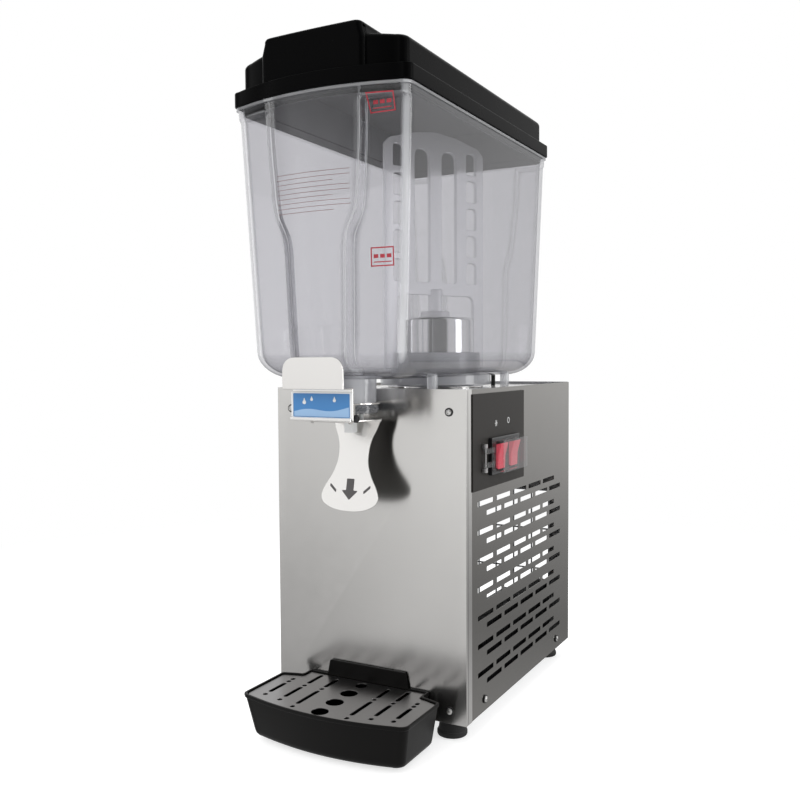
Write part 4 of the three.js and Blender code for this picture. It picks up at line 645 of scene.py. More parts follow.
# %% [markdown]
# ## Copies on given points
# A screw or a grip rib is the same form many times over. This group puts a pattern on each point that it gets and
# turns it to the direction stored on that point. The copies are made real at the end, so that what leaves the group
# is a plain mesh.

# %% Instances on given places
def placed_copies(tree, g):
    """Copies of one pattern on a mesh's points, each turned to the point's own facing."""
    source = add(tree, "GeometryNodeObjectInfo", {"Object": g["Pattern"]})["Geometry"]
    way = add(tree, "GeometryNodeInputNamedAttribute", {"Name": "facing"}, data_type="FLOAT_VECTOR")["Attribute"]
    turn = add(tree, "FunctionNodeAlignRotationToVector", {"Vector": way}, axis="Z")[0]
    return copied(tree, Points=g["Geometry"], Instance=source, Rotation=turn)


PLACED_COPIES = geometry_group(placed_copies, Pattern=OBJECT)


def at_zero(name, mesh):
    """An object whose form lies round the scene's zero point, where a tool or a pattern has to be."""
    mesh.transform(Matrix.Translation(-at(0, 0, 0)))
    return placed(name, mesh)


def copies_on(pattern_object, material, places):
    """The pattern on each of the places, which are pairs of a point and the way that its copy faces."""
    spots = mesh_of([point for point, _ in places])
    ways = spots.attributes.new("facing", "FLOAT_VECTOR", "POINT").data
    for row, (_, way) in zip(ways, places):
        row.vector = way
    return grown(PLACED_COPIES, {"Pattern": pattern_object, "Material": material}, spots)

# %% [markdown]
# ## Rows of bars
# Fins are one thin block repeated at an even step. A line of points with a block on each is the shortest way, and
# the count and the step stay easy to change.

# %% Rows of bars
def bar_row(tree, g):
    """A row of equal blocks."""
    steps = {"Count": g["Count"], "Start Location": g["Start"], "Offset": g["Step"]}
    bar = add(tree, "GeometryNodeMeshCube", {"Size": g["Size"]})["Mesh"]
    return copied(tree, Points=add(tree, "GeometryNodeMeshLine", steps)[0], Instance=bar)


BAR_ROW = geometry_group(bar_row, Count=10, Start=(0.0, 0.0, 0.0), Step=(0.0, 0.0, 0.0), Size=(1.0, 1.0, 1.0))

# %% [markdown]
# ## Wires
# A wire guard is easiest to draw as bare lines. This group takes the edges of a mesh as curves and gives them a
# round section, so that each wire costs two points.

# %% Wires along the edges of a mesh
def wires(tree, g):
    lines = add(tree, "GeometryNodeMeshToCurve", {"Mesh": g["Geometry"]})[0]
    section = add(tree, "GeometryNodeCurvePrimitiveCircle", {"Resolution": g["Sides"], "Radius": g["Radius"]})[0]
    return add(tree, "GeometryNodeCurveToMesh", {"Curve": lines, "Profile Curve": section, "Fill Caps": True})[0]


WIRES = geometry_group(wires, Radius=0.001, Sides=10)

# %% [markdown]
# ## Panels of the case
# The case is folded from thin stainless sheet, so its edges are small rounds that catch a line of light. A bevel on
# the node's own form gives that line. Drawing the panels again would risk moving a hole or a flange away from where
# the solids have it.

# %% Front, back and deck
soft_piece("case_front", "front_panel", 0.9, 3, STEEL)
soft_piece("case_back", "back_panel", 0.3, 1, ZINC)
soft_piece("case_deck", "top_deck", 0.4, 2, STEEL)
soft_piece("case_pan", "base_pan", 0.4, 1, ZINC)
soft_piece("dark_control_plate", "control_plate", 0.3, 2, DARK_PLATE)

# %% [markdown]
# ## Seams
# A dark line shows where two folded sheets meet, because little light leaves the gap. The gap is a tenth of a
# millimetre, too thin to render evenly, so a very thin dark strip stands for it.

# %% Dark seams where the front's folded edge meets the sides
seams = [slab(x - 0.06, x + 0.06, 4.0, 4.7, 19, 329, 0.03, 1) for x in (-105.0, 105.0)]
piece("case_seams", joined(seams), MARK_DARK, body="cabinet")

# %% [markdown]
# ## Slotted sides
# Each side is a sheet from the group above, as long and high as its node. A small bevel afterwards rounds the rims
# of the slots, as a punch rolls them over.

# %% Slotted sides
COLUMNS, ROWS, ALONG, UP = 5, 7, 45.2, 27.3
FIRST_Y, FIRST_Z = 46.0, 220.8
SLOT_LENGTH, SLOT_HEIGHT, SLOT_RADIUS = 38.0, 4.8, 1.1
SHIFT = Vector((21.5, -10.9, 0))
SIDE_SHEET = 0.6
LAY = Matrix(((0, 0, 1, 0), (1, 0, 0, 0), (0, 1, 0, 0), (0, 0, 0, 1)))


def slotted_side(side):
    node = side + "_side_panel"
    (x0, x1), (y0, y1), (z0, z1) = span_mm(node)
    middle_y, middle_z = (y0 + y1) / 2, (z0 + z1) / 2
    centre = Vector((FIRST_Y + ALONG * (COLUMNS - 1) / 2 - middle_y, FIRST_Z - UP * (ROWS - 1) / 2 - middle_z, 0))
    sheet = grown(SLOTTED_SHEET, {
        "Length": (y1 - y0 - 0.6) * MM, "Height": (z1 - z0 - 0.6) * MM, "Thickness": SIDE_SHEET * MM,
        "Slot Length": SLOT_LENGTH * MM, "Slot Height": SLOT_HEIGHT * MM, "Slot Radius": SLOT_RADIUS * MM,
        "Columns": COLUMNS, "Rows": ROWS, "Pitch Along": ALONG * MM, "Pitch Up": UP * MM,
        "Centre": centre * MM, "Shift": SHIFT * MM, "Material": SIDE_STEEL_PAINTED_SHADE,
    })
    sheet.transform(Matrix.Translation(at((x0 + x1) / 2 - SIDE_SHEET / 2, middle_y, middle_z)) @ LAY)
    piece("slotted_side_" + side, bevelled(sheet, 0.18, 2, 50), SIDE_STEEL_PAINTED_SHADE, node)


slotted_side("right")
slotted_side("left")

# %% [markdown]
# ## Rubber feet
# Four feet keep the case off the bench, so that air can come in below. A foot is round, so it is a profile turned
# about an upright axis: a broad ring that stands on the bench, and a neck that narrows towards the case.

# %% Rubber feet
FOOT_PROFILE = [
    (0.01, 0), (12.6, 0), (14.0, 0.6), (14.5, 1.6), (14.5, 4.2), (14.0, 5.2), (13.2, 5.8), (12.9, 8), (12.3, 12),
    (11.6, 16.6), (10.9, 17.6), (0.01, 17.7),
]
for node in [name for name in BODY_OF if name.startswith("foot_")]:
    (x0, x1), (y0, y1), _ = span_mm(node)
    piece("rubber_" + node, turned(FOOT_PROFILE, (x0 + x1) / 2, (y0 + y1) / 2, 64), RUBBER, node)

# %% [markdown]
# ## Case screws
# Eight screws with a crossed recess hold the panels, and a black ring round each head is painted shade round it. The
# recess is cut by two bars, one cut each way: cutting with both bars joined as one mesh fails, because they pass
# through each other. The places come from the nodes, so the heads sit over their holes.

# %% Case screws, one pattern placed by the nodes' own boxes
def screw_pattern():
    """A pan head along z with a crossed recess, cut by one bar each way."""
    body = at_zero("screw", turned([
        (0.01, -4.4), (1.9, -4.4), (1.9, 0.25), (2.8, 0.25), (2.95, 0.4), (2.95, 1.1), (2.6, 1.8), (1.6, 2.3),
        (0.01, 2.45),
    ], sides=32))
    bars = [
        at_zero("recess_bar", slab(-wide, wide, -deep, deep, 1.1, 3.5, 0.1, 1))
        for wide, deep in ((1.8, 0.45), (0.45, 1.8))
    ]
    for bar in bars:
        cut = body.modifiers.new("recess", "BOOLEAN")
        cut.object = bar
        cut.operation = "DIFFERENCE"
    head = applied(body)
    for bar in bars:
        bpy.data.objects.remove(bar)
    print("screw pattern", len(head.polygons), "faces")
    return placed("screw_pattern", head)


# A black ring round each screw head: painted shade round the head.
SHADE_RING_PROFILE = [(2.7, 0), (3.9, 0), (4.0, 0.15), (4.0, 0.8), (3.85, 1.0), (3.1, 1.0), (2.95, 0.85), (2.7, 0)]
SIDE_X = 105
screw = screw_pattern()
shade_ring = at_zero("washer_pattern", turned(SHADE_RING_PROFILE, sides=32))
shade_rings = []
for node in [name for name in BODY_OF if "screw" in name]:
    middle_x, middle_y, middle_z = [sum(pair) / 2 for pair in span_mm(node)]
    if "front_screw" in node:
        place = [((middle_x, 0, middle_z), (0, -1, 0))]
    else:
        side = -1 if node.startswith("left") else 1
        place = [((side * SIDE_X, middle_y, middle_z), (side, 0, 0))]
    # The black ring under each head is painted shade.
    shade_rings.append(copies_on(shade_ring, BLACK_PAINT_AND_SHADE, place))
    piece("cross_" + node, copies_on(screw, SCREW_STEEL, place), SCREW_STEEL, node)
piece("dark_washers", joined(shade_rings), BLACK_PAINT_AND_SHADE, body="cabinet")
bpy.data.objects.remove(screw)
bpy.data.objects.remove(shade_ring)

# %% [markdown]
# ## Rear guard
# A grid of wires keeps fingers away from the fan. Upright and level wires lie in two layers that touch, as they do
# when they are welded. They are drawn as lines and thickened by the wire group.

# %% Guard wires behind the rear opening
GUARD_INSET, UPRIGHTS, CROSSWIRES = 1.1, 8, 4


def guard_lines():
    (x0, x1), (y0, y1), (z0, z1) = span_mm("rear_guard")
    r = GUARD_INSET
    points = []
    for x in run(x0 + r, x1 - r, UPRIGHTS - 1):
        points += [(x, y1 - r, z0), (x, y1 - r, z1)]
    for z in run(z0 + r, z1 - r, CROSSWIRES - 1):
        points += [(x0 + r, y0 + r, z), (x1 - r, y0 + r, z)]
    return mesh_of(points, edges=[(i, i + 1) for i in range(0, len(points), 2)])


guard = grown(WIRES, {"Radius": 1.05 * MM, "Sides": 12, "Material": ZINC}, guard_lines())
piece("wire_guard", guard, ZINC, "rear_guard")

# %% [markdown]
# ## Condenser
# The condenser gives off the heat through many thin fins on a few pipes. Only the edges of the fins can be seen
# through the slots, so a plain block inside a row of thin plates reads as the real thing and stays light.

# %% Condenser: a core block and a row of fins
FINS = 44
(x0, x1), (y0, y1), (z0, z1) = span_mm("condenser")
core = slab(x0 + 3, x1 - 3, y0 + 0.5, y1 - 0.5, z0 + 1, z1 - 1, 0.5, 1)
fins = grown(BAR_ROW, {
    "Count": FINS, "Start": at((x0 + x1) / 2, y0 + 0.3, (z0 + z1) / 2), "Material": BLACK_PAINT_AND_SHADE,
    "Step": Vector((0, (y1 - y0 - 0.6) / (FINS - 1) * MM, 0)), "Size": Vector((x1 - x0, 0.5, z1 - z0)) * MM,
})
piece("condenser_with_fins", joined([core, fins]), BLACK_PAINT_AND_SHADE, "condenser")

# %% [markdown]
# ## The bowl's outline
# The bowl is one clear moulding with a bowed front, a rounded foot and walls that lean out towards the rim. A
# raised panel runs up its front and back, broad at the top and narrow below. Every level has the same number of
# points, so the wall can be a loft of rings. There are more rings where the panel's edge bends and more points
# beside each corner, and the shading follows them.

# %% Plan outlines
def bowed(x, half, corner, rise, inset):
    """Where a bowed front stands at x; it reaches furthest forward in the middle."""
    return -(corner + rise * (1 - (x / half) ** 2) - inset)


def part_way(table, t):
    """Values between the first and the second of each pair."""
    return [first + (second - first) * t for first, second in table]


def plan(half, corner, bow, back, radius, inset, bow_steps=40, turn_steps=8):
    """Plan with a bowed front, as [x, y], anticlockwise from the front left."""
    w = half - inset
    reach = w - radius
    points = [(x, bowed(x, w, corner, bow - corner, inset)) for x in run(-reach, reach, bow_steps)]
    low, high = points.pop()[1] + radius, back - inset - radius
    for x, y, turn in ((reach, low, -1), (reach, high, 0), (-reach, high, 1), (-reach, low, 2)):
        points += arc(x, y, radius, turn * QUARTER, (turn + 1) * QUARTER, turn_steps)
    return points[:-1]


FLOOR, RIM, WALL = 340.0, 589.0, 3.0
CORNER_RADIUS, FOOT_RADIUS, EDGE_SOFTNESS = 9.0, 25.0, 1.5
FRONT_STEP, BACK_STEP = 12.5, 3
FOOT_TO_RIM = ((79, 90.4), (70, 78.5), (85, 95.5), (260, 259.5))
FRONT_PANEL = [(FLOOR, 30), (455, 33), (467, 34.5), (484, 43), (496, 45.6), (552, 49.6), (RIM, 50)]
BACK_PANEL = [(FLOOR, 40), (455, 42), (467, 43), (484, 48.5), (496, 50.6), (552, 56.6), (RIM, 57)]


def eased(t):
    t = min(1.0, max(0.0, t))
    return t * t * (3 - 2 * t)


def between(table, z):
    """A value read off [z, value] rows by straight lines."""
    for (z0, v0), (z1, v1) in zip(table, table[1:]):
        if z <= z1:
            return v0 + (v1 - v0) * max(0.0, (z - z0) / (z1 - z0))
    return table[-1][1]


def bowl_ring(z, inset, wall):
    """One level of the bowl's wall, with the proud panels stepped out of it."""
    t = (z - FLOOR) / (RIM - FLOOR)
    half, corner, bow, back = part_way(FOOT_TO_RIM, t)
    half, back = half - inset, back - inset
    reach = half - CORNER_RADIUS
    in_band = eased((z - (RIM - 13 + wall)) / 3)
    front_edge, back_edge = between(FRONT_PANEL, z) - wall, between(BACK_PANEL, z) - wall

    def away(x, edge):
        return eased((abs(x) - edge + EDGE_SOFTNESS) / (2 * EDGE_SOFTNESS)) * (1 - in_band)

    def front(x):
        return bowed(x, half, corner, (bow - corner) - FRONT_STEP * away(x, front_edge), inset)

    def rear(x):
        return back - BACK_STEP * away(x, back_edge)

    def stations(edge):
        inner, outer = edge - EDGE_SOFTNESS - 0.2, edge + EDGE_SOFTNESS + 0.2
        right = run(reach, outer, 6)[:-1] + run(outer, inner, 6)[:-1] + run(inner, 0, 8)
        return right + [-x for x in reversed(right[:-1])]

    def turn(x, y, quarter):
        return arc(x, y, CORNER_RADIUS, quarter * QUARTER, (quarter + 1) * QUARTER, 6)

    low, high = front(reach) + CORNER_RADIUS, rear(reach) - CORNER_RADIUS
    sides = [low + 3, low + 8, *run(low, high, 8)[1:-1], high - 8, high - 3]
    points = [(x, front(x)) for x in reversed(stations(front_edge))][:-1]
    points += turn(reach, low, -1) + [(half, y) for y in sides] + turn(reach, high, 0)
    points += [(x, rear(x)) for x in stations(back_edge)][1:-1]
    points += turn(-reach, high, 1) + [(-half, y) for y in reversed(sides)] + turn(-reach, low, 2)[:-1]
    return level(points, z)


LEVELS = (
    380, 400, 420, 440, 452, 459, 465, 470, 475, 480, 485, 491, 500, 520, 540, 556, 568, 574, 576, 577.5, 579, 581,
)


def bowl_wall(wall, top):
    """The rings of one face of the bowl, from the middle of its floor to its top."""
    radius = FOOT_RADIUS - wall
    foot = [
        bowl_ring(FLOOR + wall + radius - across, wall + radius - up, wall)
        for across, up in arc(0, 0, radius, 0, QUARTER, 8)
    ]
    return foot + [bowl_ring(z, wall, wall) for z in (*LEVELS, top)]


print("a ring of the bowl has", len(bowl_ring(FLOOR, 0, 0)), "points")

# %% [markdown]
# ## Bowl
# A clear wall shows both of its faces, so the bowl needs its real thickness: the rings go up the outside, over the
# lip and down the inside. The outlet at the front, the ring round the can and the short legs are turned forms. They
# are joined to the shell without a Boolean, since they only touch it.

# %% Bowl shell, outlet boss, skirt and collar
CAN_Y, OUTLET_Y = 150, -29


def bowl_form():
    lip = [
        [(x * wide, 85 + (y - 85) * deep, z) for x, y, _ in bowl_ring(RIM, 0, 0)]
        for wide, deep, z in ((1.014, 1.008, 586.2), (1.014, 1.008, 588.4), (1.008, 1.004, 589.0))
    ]
    shell = loft([*bowl_wall(0.0, 585.6), *lip, *reversed(bowl_wall(WALL, 588.4))])
    boss = turned([(20, 314.5), (23.6, 314.5), (24.0, 315), (24.5, 343), (20, 343), (20, 314.5)], 0, OUTLET_Y)
    skirt = turned([(58, 330), (60.6, 330), (61, 330.5), (61, 341), (58, 341), (58, 330)], 0, CAN_Y)
    collar = turned([(46.3, 332), (49.3, 332), (49.3, 364.5), (48.9, 365), (46.3, 365), (46.3, 332)], 0, CAN_Y)
    legs = [drum("z", 327.3, 344, (x, y), 5, 0.5, 24) for x in (-60, 60) for y in (22, 205)]
    return joined([shell, boss, skirt, collar, *legs])


piece("clear_bowl", bowl_form(), BOWL_CLEAR, "tank", angle=28)

# %% [markdown]
# ## Lid
# The lid is a black moulding: a flange on the bowl's rim, a tier with a cambered top, and a narrow crown from front
# to back with a flat front. Each is a loft of one outline at rising heights, and the inset grows where an edge is
# round.
#
# The inside is matt, and the faces that look inwards get a paler grey than the black outside: painted light for
# what comes up through the bowl. The direction and the place of a face are enough to find them.

# %% Lid
def lid_form():
    def ring(inset, z):
        arch = 4.5 if z > 620 and inset < 9.4 or z > 629 else 0.0
        return [(x, y, z + arch * (1 - (x / 80) ** 2)) for x, y in plan(92.6, 80.0, 99.0, 262.0, 8.0, inset)]

    profile = [
        (9.5, 626.3), (9.5, 589.3), (0.9, 589.3), (0.25, 589.6), (0, 590.2), (0, 601.6), (0.3, 602.4), (1.0, 602.8),
        (6.0, 602.9), (6.7, 603.2), (7.0, 603.9), (7.0, 624.6), (7.25, 626.2), (8.0, 627.6), (9.2, 628.7),
        (11, 629.4), (15, 630.6), (21, 632.6), (27, 634.3),
    ]

    def crown(back, radius, rows):
        rings = []
        for inset, z in rows:
            draft = 1 + 0.06 * max(0.0, 637 - max(z, 627)) / 10
            rings.append([(x * draft, y, z) for x, y in plan(50, 91, 92, back, radius, inset, 24, 6)])
        return loft(rings)

    rounding = [(0, 627), (0, 632), (0, 637), (0, 638.6), (0.3, 640), (1.1, 641.3), (2.2, 642.0)]
    lip_rows = ((6.0, 592), (6.0, 582.6), (5.7, 582.3), (4.3, 582.3), (4.0, 582.6), (4.0, 592), (6.0, 592))
    lip = loft([level(plan(90.4, 78.5, 95.5, 259.5, 9.0, inset), z) for inset, z in lip_rows], False, False)
    main = loft([ring(inset, z) for inset, z in profile])
    top, front = crown(252, 5, [*rounding, (3.6, 642.3)]), crown(-76, 5, [(0, 602.5), *rounding])
    return joined([main, top, front, lip])


def second_material(obj, material, chosen):
    """Gives the chosen faces of a piece another material."""
    obj.data.materials.append(material)
    for face in obj.data.polygons:
        face.material_index = int(chosen(face.normal, face.center))
    print(obj.name, "has", sum(face.material_index for face in obj.data.polygons), "faces in", material.name)


def inside_lid(normal, centre):
    outward = (centre - at(0, 85, 0)) * Vector((1, 1, 0))
    inward = normal.dot(outward.normalized()) < -0.3 and centre.z < 627 * MM
    return inward or (normal.z < -0.9 and centre.z > 615 * MM)


lid = piece("black_lid", lid_form(), LID_BLACK, "lid", angle=40)
# Painted light on the faces inside the lid.
second_material(lid, LID_INSIDE_PAINTED_LIGHT, inside_lid)

# %% [markdown]
# ## Cooling can
# The can is the cold part that the drink touches. It is turned and polished steel, and a mirror finish shows every
# facet, so the profile is turned in 128 steps.

# %% Cooling can
CAN_PROFILE = [
    (40.8, 327.3), (52.6, 327.3), (53, 327.7), (53, 328.6), (52.6, 328.9), (42.6, 328.9), (42, 329.6), (42, 398.6),
    (41.7, 400.2), (40.9, 401.6), (39.6, 402.6), (38, 403), (20, 403), (0.01, 403), (0.01, 401.8), (37.6, 401.8),
    (39.6, 401), (40.6, 399.4), (40.8, 398), (40.8, 327.3),
]
piece("polished_can", turned(CAN_PROFILE, 0, CAN_Y, 128), CHROME, "evaporator_can")

# %% [markdown]
# ## Paddle
# A clear paddle straddles the can and stirs the drink. It is a flat moulding with long openings in the middle, a
# ladder of small ones at each side and an arched top, so it is a plate cut from one outline with holes. It stands
# turned by 62 degrees, as it stopped on the real one.

# %% Paddle
def rounded(points, radius, steps=5):
    """A closed outline with its corners rounded; radius may be one value or one per corner."""
    result = []
    for i, here in enumerate(points):
        r = radius[i] if isinstance(radius, list) else radius
        p = Vector(here)
        if r <= 0:
            result.append((p.x, p.y))
            continue
        a, b = Vector(points[i - 1]) - p, Vector(points[(i + 1) % len(points)]) - p
        cut = min(r / max(math.tan(a.angle(b) / 2), 1e-3), a.length * 0.49, b.length * 0.49)
        start, end = p + a.normalized() * cut, p + b.normalized() * cut
        for t in run(0, 1, steps):
            q = start * (1 - t) ** 2 + p * 2 * t * (1 - t) + end * t ** 2
            result.append((q.x, q.y))
    return result


def box_loop(a, b, low, high):
    return [(a, low), (b, low), (b, high), (a, high)]


def mirrored(points):
    """The points and their mirror images, back to where they began."""
    return points + [(-x, y) for x, y in reversed(points)]


PADDLE_TURN = math.radians(62)


def paddle_form():
    side = [(66, 348), (66, 587), (59, 594), (28, 602.5)]
    outline = mirrored([*side, (0, 606)])
    del outline[len(side)]
    outline += [(-52, 348), (-52, 428), (52, 428), (52, 348)]
    radii = [1, 6, 8, 20, 40, 20, 8, 6, 1, 1, 9, 9, 1]
    holes = []
    for side in (-1, 1):
        holes.append(rounded(box_loop(*sorted((side * 8, side * 28)), 442, 586), [4, 4, 9.5, 9.5], 8))
        for low in run(442, 564.4, 4):
            holes.append(rounded(box_loop(*sorted((side * 42, side * 56)), low, low + 23.6), [2, 2, 5, 5], 5))
    matrix = Matrix.Translation(at(0, CAN_Y, 0)) @ Matrix.Rotation(PADDLE_TURN, 4, "Z")
    sheet = plate(rounded(outline, radii), holes, 5.5, 1.0, matrix @ Matrix.Rotation(QUARTER, 4, "X"))
    hub = drum("z", 403.3, 410.3, (0, CAN_Y), 16, 1.0, 48)
    stem = drum("z", 405, 435, (0, CAN_Y), 8, 1.0, 32)
    return joined([sheet, hub, stem])


piece("clear_paddle", paddle_form(), PADDLE_CLEAR, "stirring_paddle")

# %% [markdown]
# ## Bracket
# A bent steel bracket hangs under the bowl's front. Its tongue goes round the outlet, two ears hold the lever's pin
# and an upright tab takes the hand that lifts the bowl. Bent sheet is the same thickness everywhere, so it is put
# together from thin plates and slabs with soft edges.

# %% Bracket
FRONTWARD, RIGHTWARD = (0, -1, 0), (1, 0, 0)
SHEET = 1.5
PIN = (-62, 305)


def tab_form():
    view = rounded(box_loop(-32, 32, 331.5, 360), [1, 1, 15.5, 15.5], 10)
    return plate(view, [], SHEET, 0.4, upright(FRONTWARD, 0, -91.85))


def tongue_form():
    around = arc(0, OUTLET_Y, 28, math.radians(-131), math.radians(127), 43)
    outline = [(-21, -77.1), (21, -77.1), *[(x, y) for x, y in around if y > -47.6 or abs(x) > 21]]
    hole = circle(0, OUTLET_Y, 24.8, 60)
    return plate(outline, [hole], SHEET, 0.3, Matrix.Translation(at(0, 0, 317.25)))


def ear_form(x):
    view = [(-69, 317.5), (-69, 305), (-62, 298), (-55, 305), (-55, 317.5)]
    hole = circle(*PIN, 2.3, 16)
    return plate(rounded(view, [0.5, 5, 6, 5, 0.5], 6), [hole], SHEET, 0.3, upright(RIGHTWARD, x + SHEET / 2, 0))


folds = [
    slab(-32, 32, -92.6, -75.6, 331.5, 333, 0.6), slab(-32, 32, -77.1, -75.6, 303, 333, 0.5),
    slab(-32, 32, -81.2, -75.6, 303, 304.6, 0.6), slab(-32, 32, -81.2, -80.2, 303, 306.2, 0.4),
]
bracket = joined([tab_form(), *folds, tongue_form(), ear_form(-21), ear_form(19.5)])
piece("steel_bracket", bracket, TAP_STEEL, "tap_bracket")

# %% [markdown]
# ## Sign
# The sign is a pale frame round a blue field. A wave and three drops say what comes out without any words. They are
# very thin raised plates: a real edge stays crisp from close by, and a mask in the material would need a flat
# mapping.

# %% Sign: a pale frame round a plain blue field with a wave and drops
PRINT_DEPTH = -78.68


def wave_loop(base, height, lift):
    top = [(-29 + 58 * t, base + height * math.sin(2.2 * math.pi * t) + lift * t) for t in run(0, 1, 40)]
    return top + [(x, 307.2) for x, _ in reversed(top)]


def drop_loop(x, z, size):
    """A circle whose upper half is narrowed and drawn out to a tip."""
    points = []
    for across, up in circle(0, 0, 1, 24):
        tip = max(0.0, up)
        points.append((x + size * across * (1 - 0.55 * tip), z + size * up * (1 + 0.9 * tip ** 3)))
    return points


def sign_print(loop):
    return plate(loop, [], 0.2, 0.05, upright(FRONTWARD, 0, PRINT_DEPTH))


rim_loop = rounded(box_loop(-32, 32, 304.9, 329.5), 1.5, 4)
field_loop = rounded(box_loop(-30, 30, 306.6, 327.8), 1.0, 4)
piece("sign_frame", plate(rim_loop, [field_loop], 1.6, 0.3, upright(FRONTWARD, 0, -78.2)), WHITE, "sign_plate")
piece("sign_field", slab(-30.2, 30.2, -78.6, -77.5, 306.4, 328, 0.2), BLUE, body="tank")
piece("sign_wave", sign_print(wave_loop(311.5, 1.6, 3.5)), PALE_PRINT, body="tank")
drops = [sign_print(drop_loop(*drop)) for drop in ((-18, 320, 2.0), (-10, 322.5, 1.5), (14, 322, 1.7))]
piece("sign_drops", joined(drops), MARK_WHITE, body="tank")

# %% [markdown]
# ## Nut, nozzle and pin
# A clear nut holds the nozzle on the outlet, and ribs round it give the fingers a grip. One rib is placed 36 times
# by the group for copies, each turned outwards. The nozzle and the plunger keep their own form, with rounded edges.

# %% Nut with grip ribs, nozzle, valve and pin
NUT_PROFILE = [
    (16, 308.2), (25.0, 308.2), (25.6, 308.8), (25.6, 315.6), (25.0, 316.2), (24.9, 316.2), (24.9, 311.2),
    (16, 311.2), (16, 308.2),
]
rib = at_zero("rib", slab(-0.7, 0.7, -3.3, 3.3, -0.7, 0.85, 0.3, 2))
grips = [((x, y, 312.2), (x, y - OUTLET_Y, 0)) for x, y in circle(0, OUTLET_Y, 25.6, 36)]
nut = joined([turned(NUT_PROFILE, 0, OUTLET_Y), copies_on(rib, NUT_CLEAR, grips)])
bpy.data.objects.remove(rib)
piece("ribbed_nut", nut, NUT_CLEAR, "spout_nut")
soft_piece("white_nozzle", "spout_nozzle", 0.35, 2, WHITE)
soft_piece("white_plunger", "valve_plunger", 0.35, 2, WHITE)
pin_heads = [drum("x", x, x + 4, PIN, 3.6, 0.8, 32) for x in (-28, 24)]
piece("black_pin", joined([drum("x", -27.5, 27.5, PIN, 2, 0.2, 24), *pin_heads]), GLOSS_BLACK, "lever_pin")

# %% [markdown]
# ## Valve spring
# A wire spring presses the plunger down. It rides on the plunger, and its upper end stays under the bowl's floor,
# so it has to get shorter as the plunger rises. The piece is a copy of the node's own mesh, with a mesh of its own.

# %% Valve spring
spring = piece("wire_spring", frame["nodes"]["valve_spring"].data.copy(), CHROME, "valve_spring", angle=60)
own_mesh(spring)

# %% [markdown]
# ## Lever
# The lever is a steel blade, narrow under the pin and broad where a cup pushes it. Its edge is a smooth curve
# through a few widths read off the photograph, which is quicker to correct than a drawn curve. The blade leans back
# by 12 degrees, and a plain arrow on it shows where to push.
#
# The back of the blade looks into the narrow gap before the case, and the photograph shows it almost black in the
# front's reflection, so the faces that look backwards get an almost black colour of the same steel: painted shade.

# %% Lever
EDGE = [
    (0.84, 0), (0.74, 0.11), (0.6, 0.22), (0.53, 0.34), (0.55, 0.48), (0.7, 0.62), (0.9, 0.735), (0.99, 0.81),
    (0.99, 0.87), (0.88, 0.925), (0.6, 0.972), (0.3, 0.993), (0, 1),
]
BLADE_HALF, BLADE_LENGTH, LEAN = 30.9, 88.9, math.radians(12)


def smooth_run(points, steps=5):
    """Points joined by a smooth curve that passes through each of them."""
    smooth = []
    padded = [points[0], *points, points[-1]]
    for i in range(1, len(padded) - 2):
        p0, p1, p2, p3 = [Vector(p) for p in padded[i - 1:i + 3]]
        for t in run(0, 1, steps)[:-1]:
            q = p1 * 2 + (p2 - p0) * t + (p0 * 2 - p1 * 5 + p2 * 4 - p3) * t * t + (p1 * 3 - p0 - p2 * 3 + p3) * t ** 3
            smooth.append((q.x / 2, q.y / 2))
    return smooth + [tuple(points[-1])]


def lever_matrix(lift):
    lean = Matrix.Rotation(-LEAN, 4, "X") @ Matrix.Rotation(QUARTER, 4, "X")
    return Matrix.Translation(at(0, -16, 302.5)) @ lean @ Matrix.Translation((0, 0, lift * MM))


def lever_form():
    right = smooth_run([(w * BLADE_HALF, -d * BLADE_LENGTH) for w, d in EDGE])
    outline = right + [(-x, y) for x, y in reversed(right[:-1])]
    blade = plate(outline, [], SHEET, 0.45, lever_matrix(SHEET / 2))
    shelf_outline = rounded(mirrored([(19, -62), (19, -54.7), (26, -29), (26, -17)]), [0, 4, 6, 0.5, 0.5, 6, 4, 0], 5)
    hole = rounded(box_loop(-7.5, 7.5, -36.5, -20.1), 2, 4)
    shelf = plate(shelf_outline, [hole], SHEET, 0.4, Matrix.Translation(at(0, 0, 301.75)))
    bend = drum("x", -26, 26, (-17.5, 301.0), 1.5, 0.3, 24)
    barrel = drum("x", -19, 19, PIN, 4, 0.5, 40, bore=2.3)
    return joined([blade, shelf, bend, barrel])


def back_of_blade(normal, centre):
    return normal.y > 0.5 and centre.z < 299 * MM


lever = piece("steel_lever", lever_form(), LEVER_STEEL, "push_lever")
# Painted shade on the faces of the blade that look backwards.
second_material(lever, LEVER_BACK_PAINTED_SHADE, back_of_blade)
arrow = [(0, -78), (9, -69), (4, -69), (4, -58), (-4, -58), (-4, -69), (-9, -69)]
chevrons = [[(side * x, y) for x, y in ((22, -63), (15, -69), (15, -72), (22, -66))] for side in (-1, 1)]
emboss = [plate(rounded(loop, 0.8, 3), [], 0.5, 0.15, lever_matrix(1.6)) for loop in [arrow, *chevrons]]
piece("lever_arrow", joined(emboss), MARK_DARK, body="lever")

# %% [markdown]
# ## Drip tray
# The tray is a deep black moulding with a bowed front, walls that lean out and a rim with a rolled lip. At the back
# it narrows to go between the runners, and an upright plate hides the gap behind it. The outline changes with the
# height, so the tray is again a loft, up the outside, over the lip and down into the basin.

# %% Tray plan
TRAY_FOOT, TRAY_RIM, TRAY_RADIUS = 3, 45, 8.0
TRAY_WIDENING = ((80, 88), (78, 85), (89, 98.5))


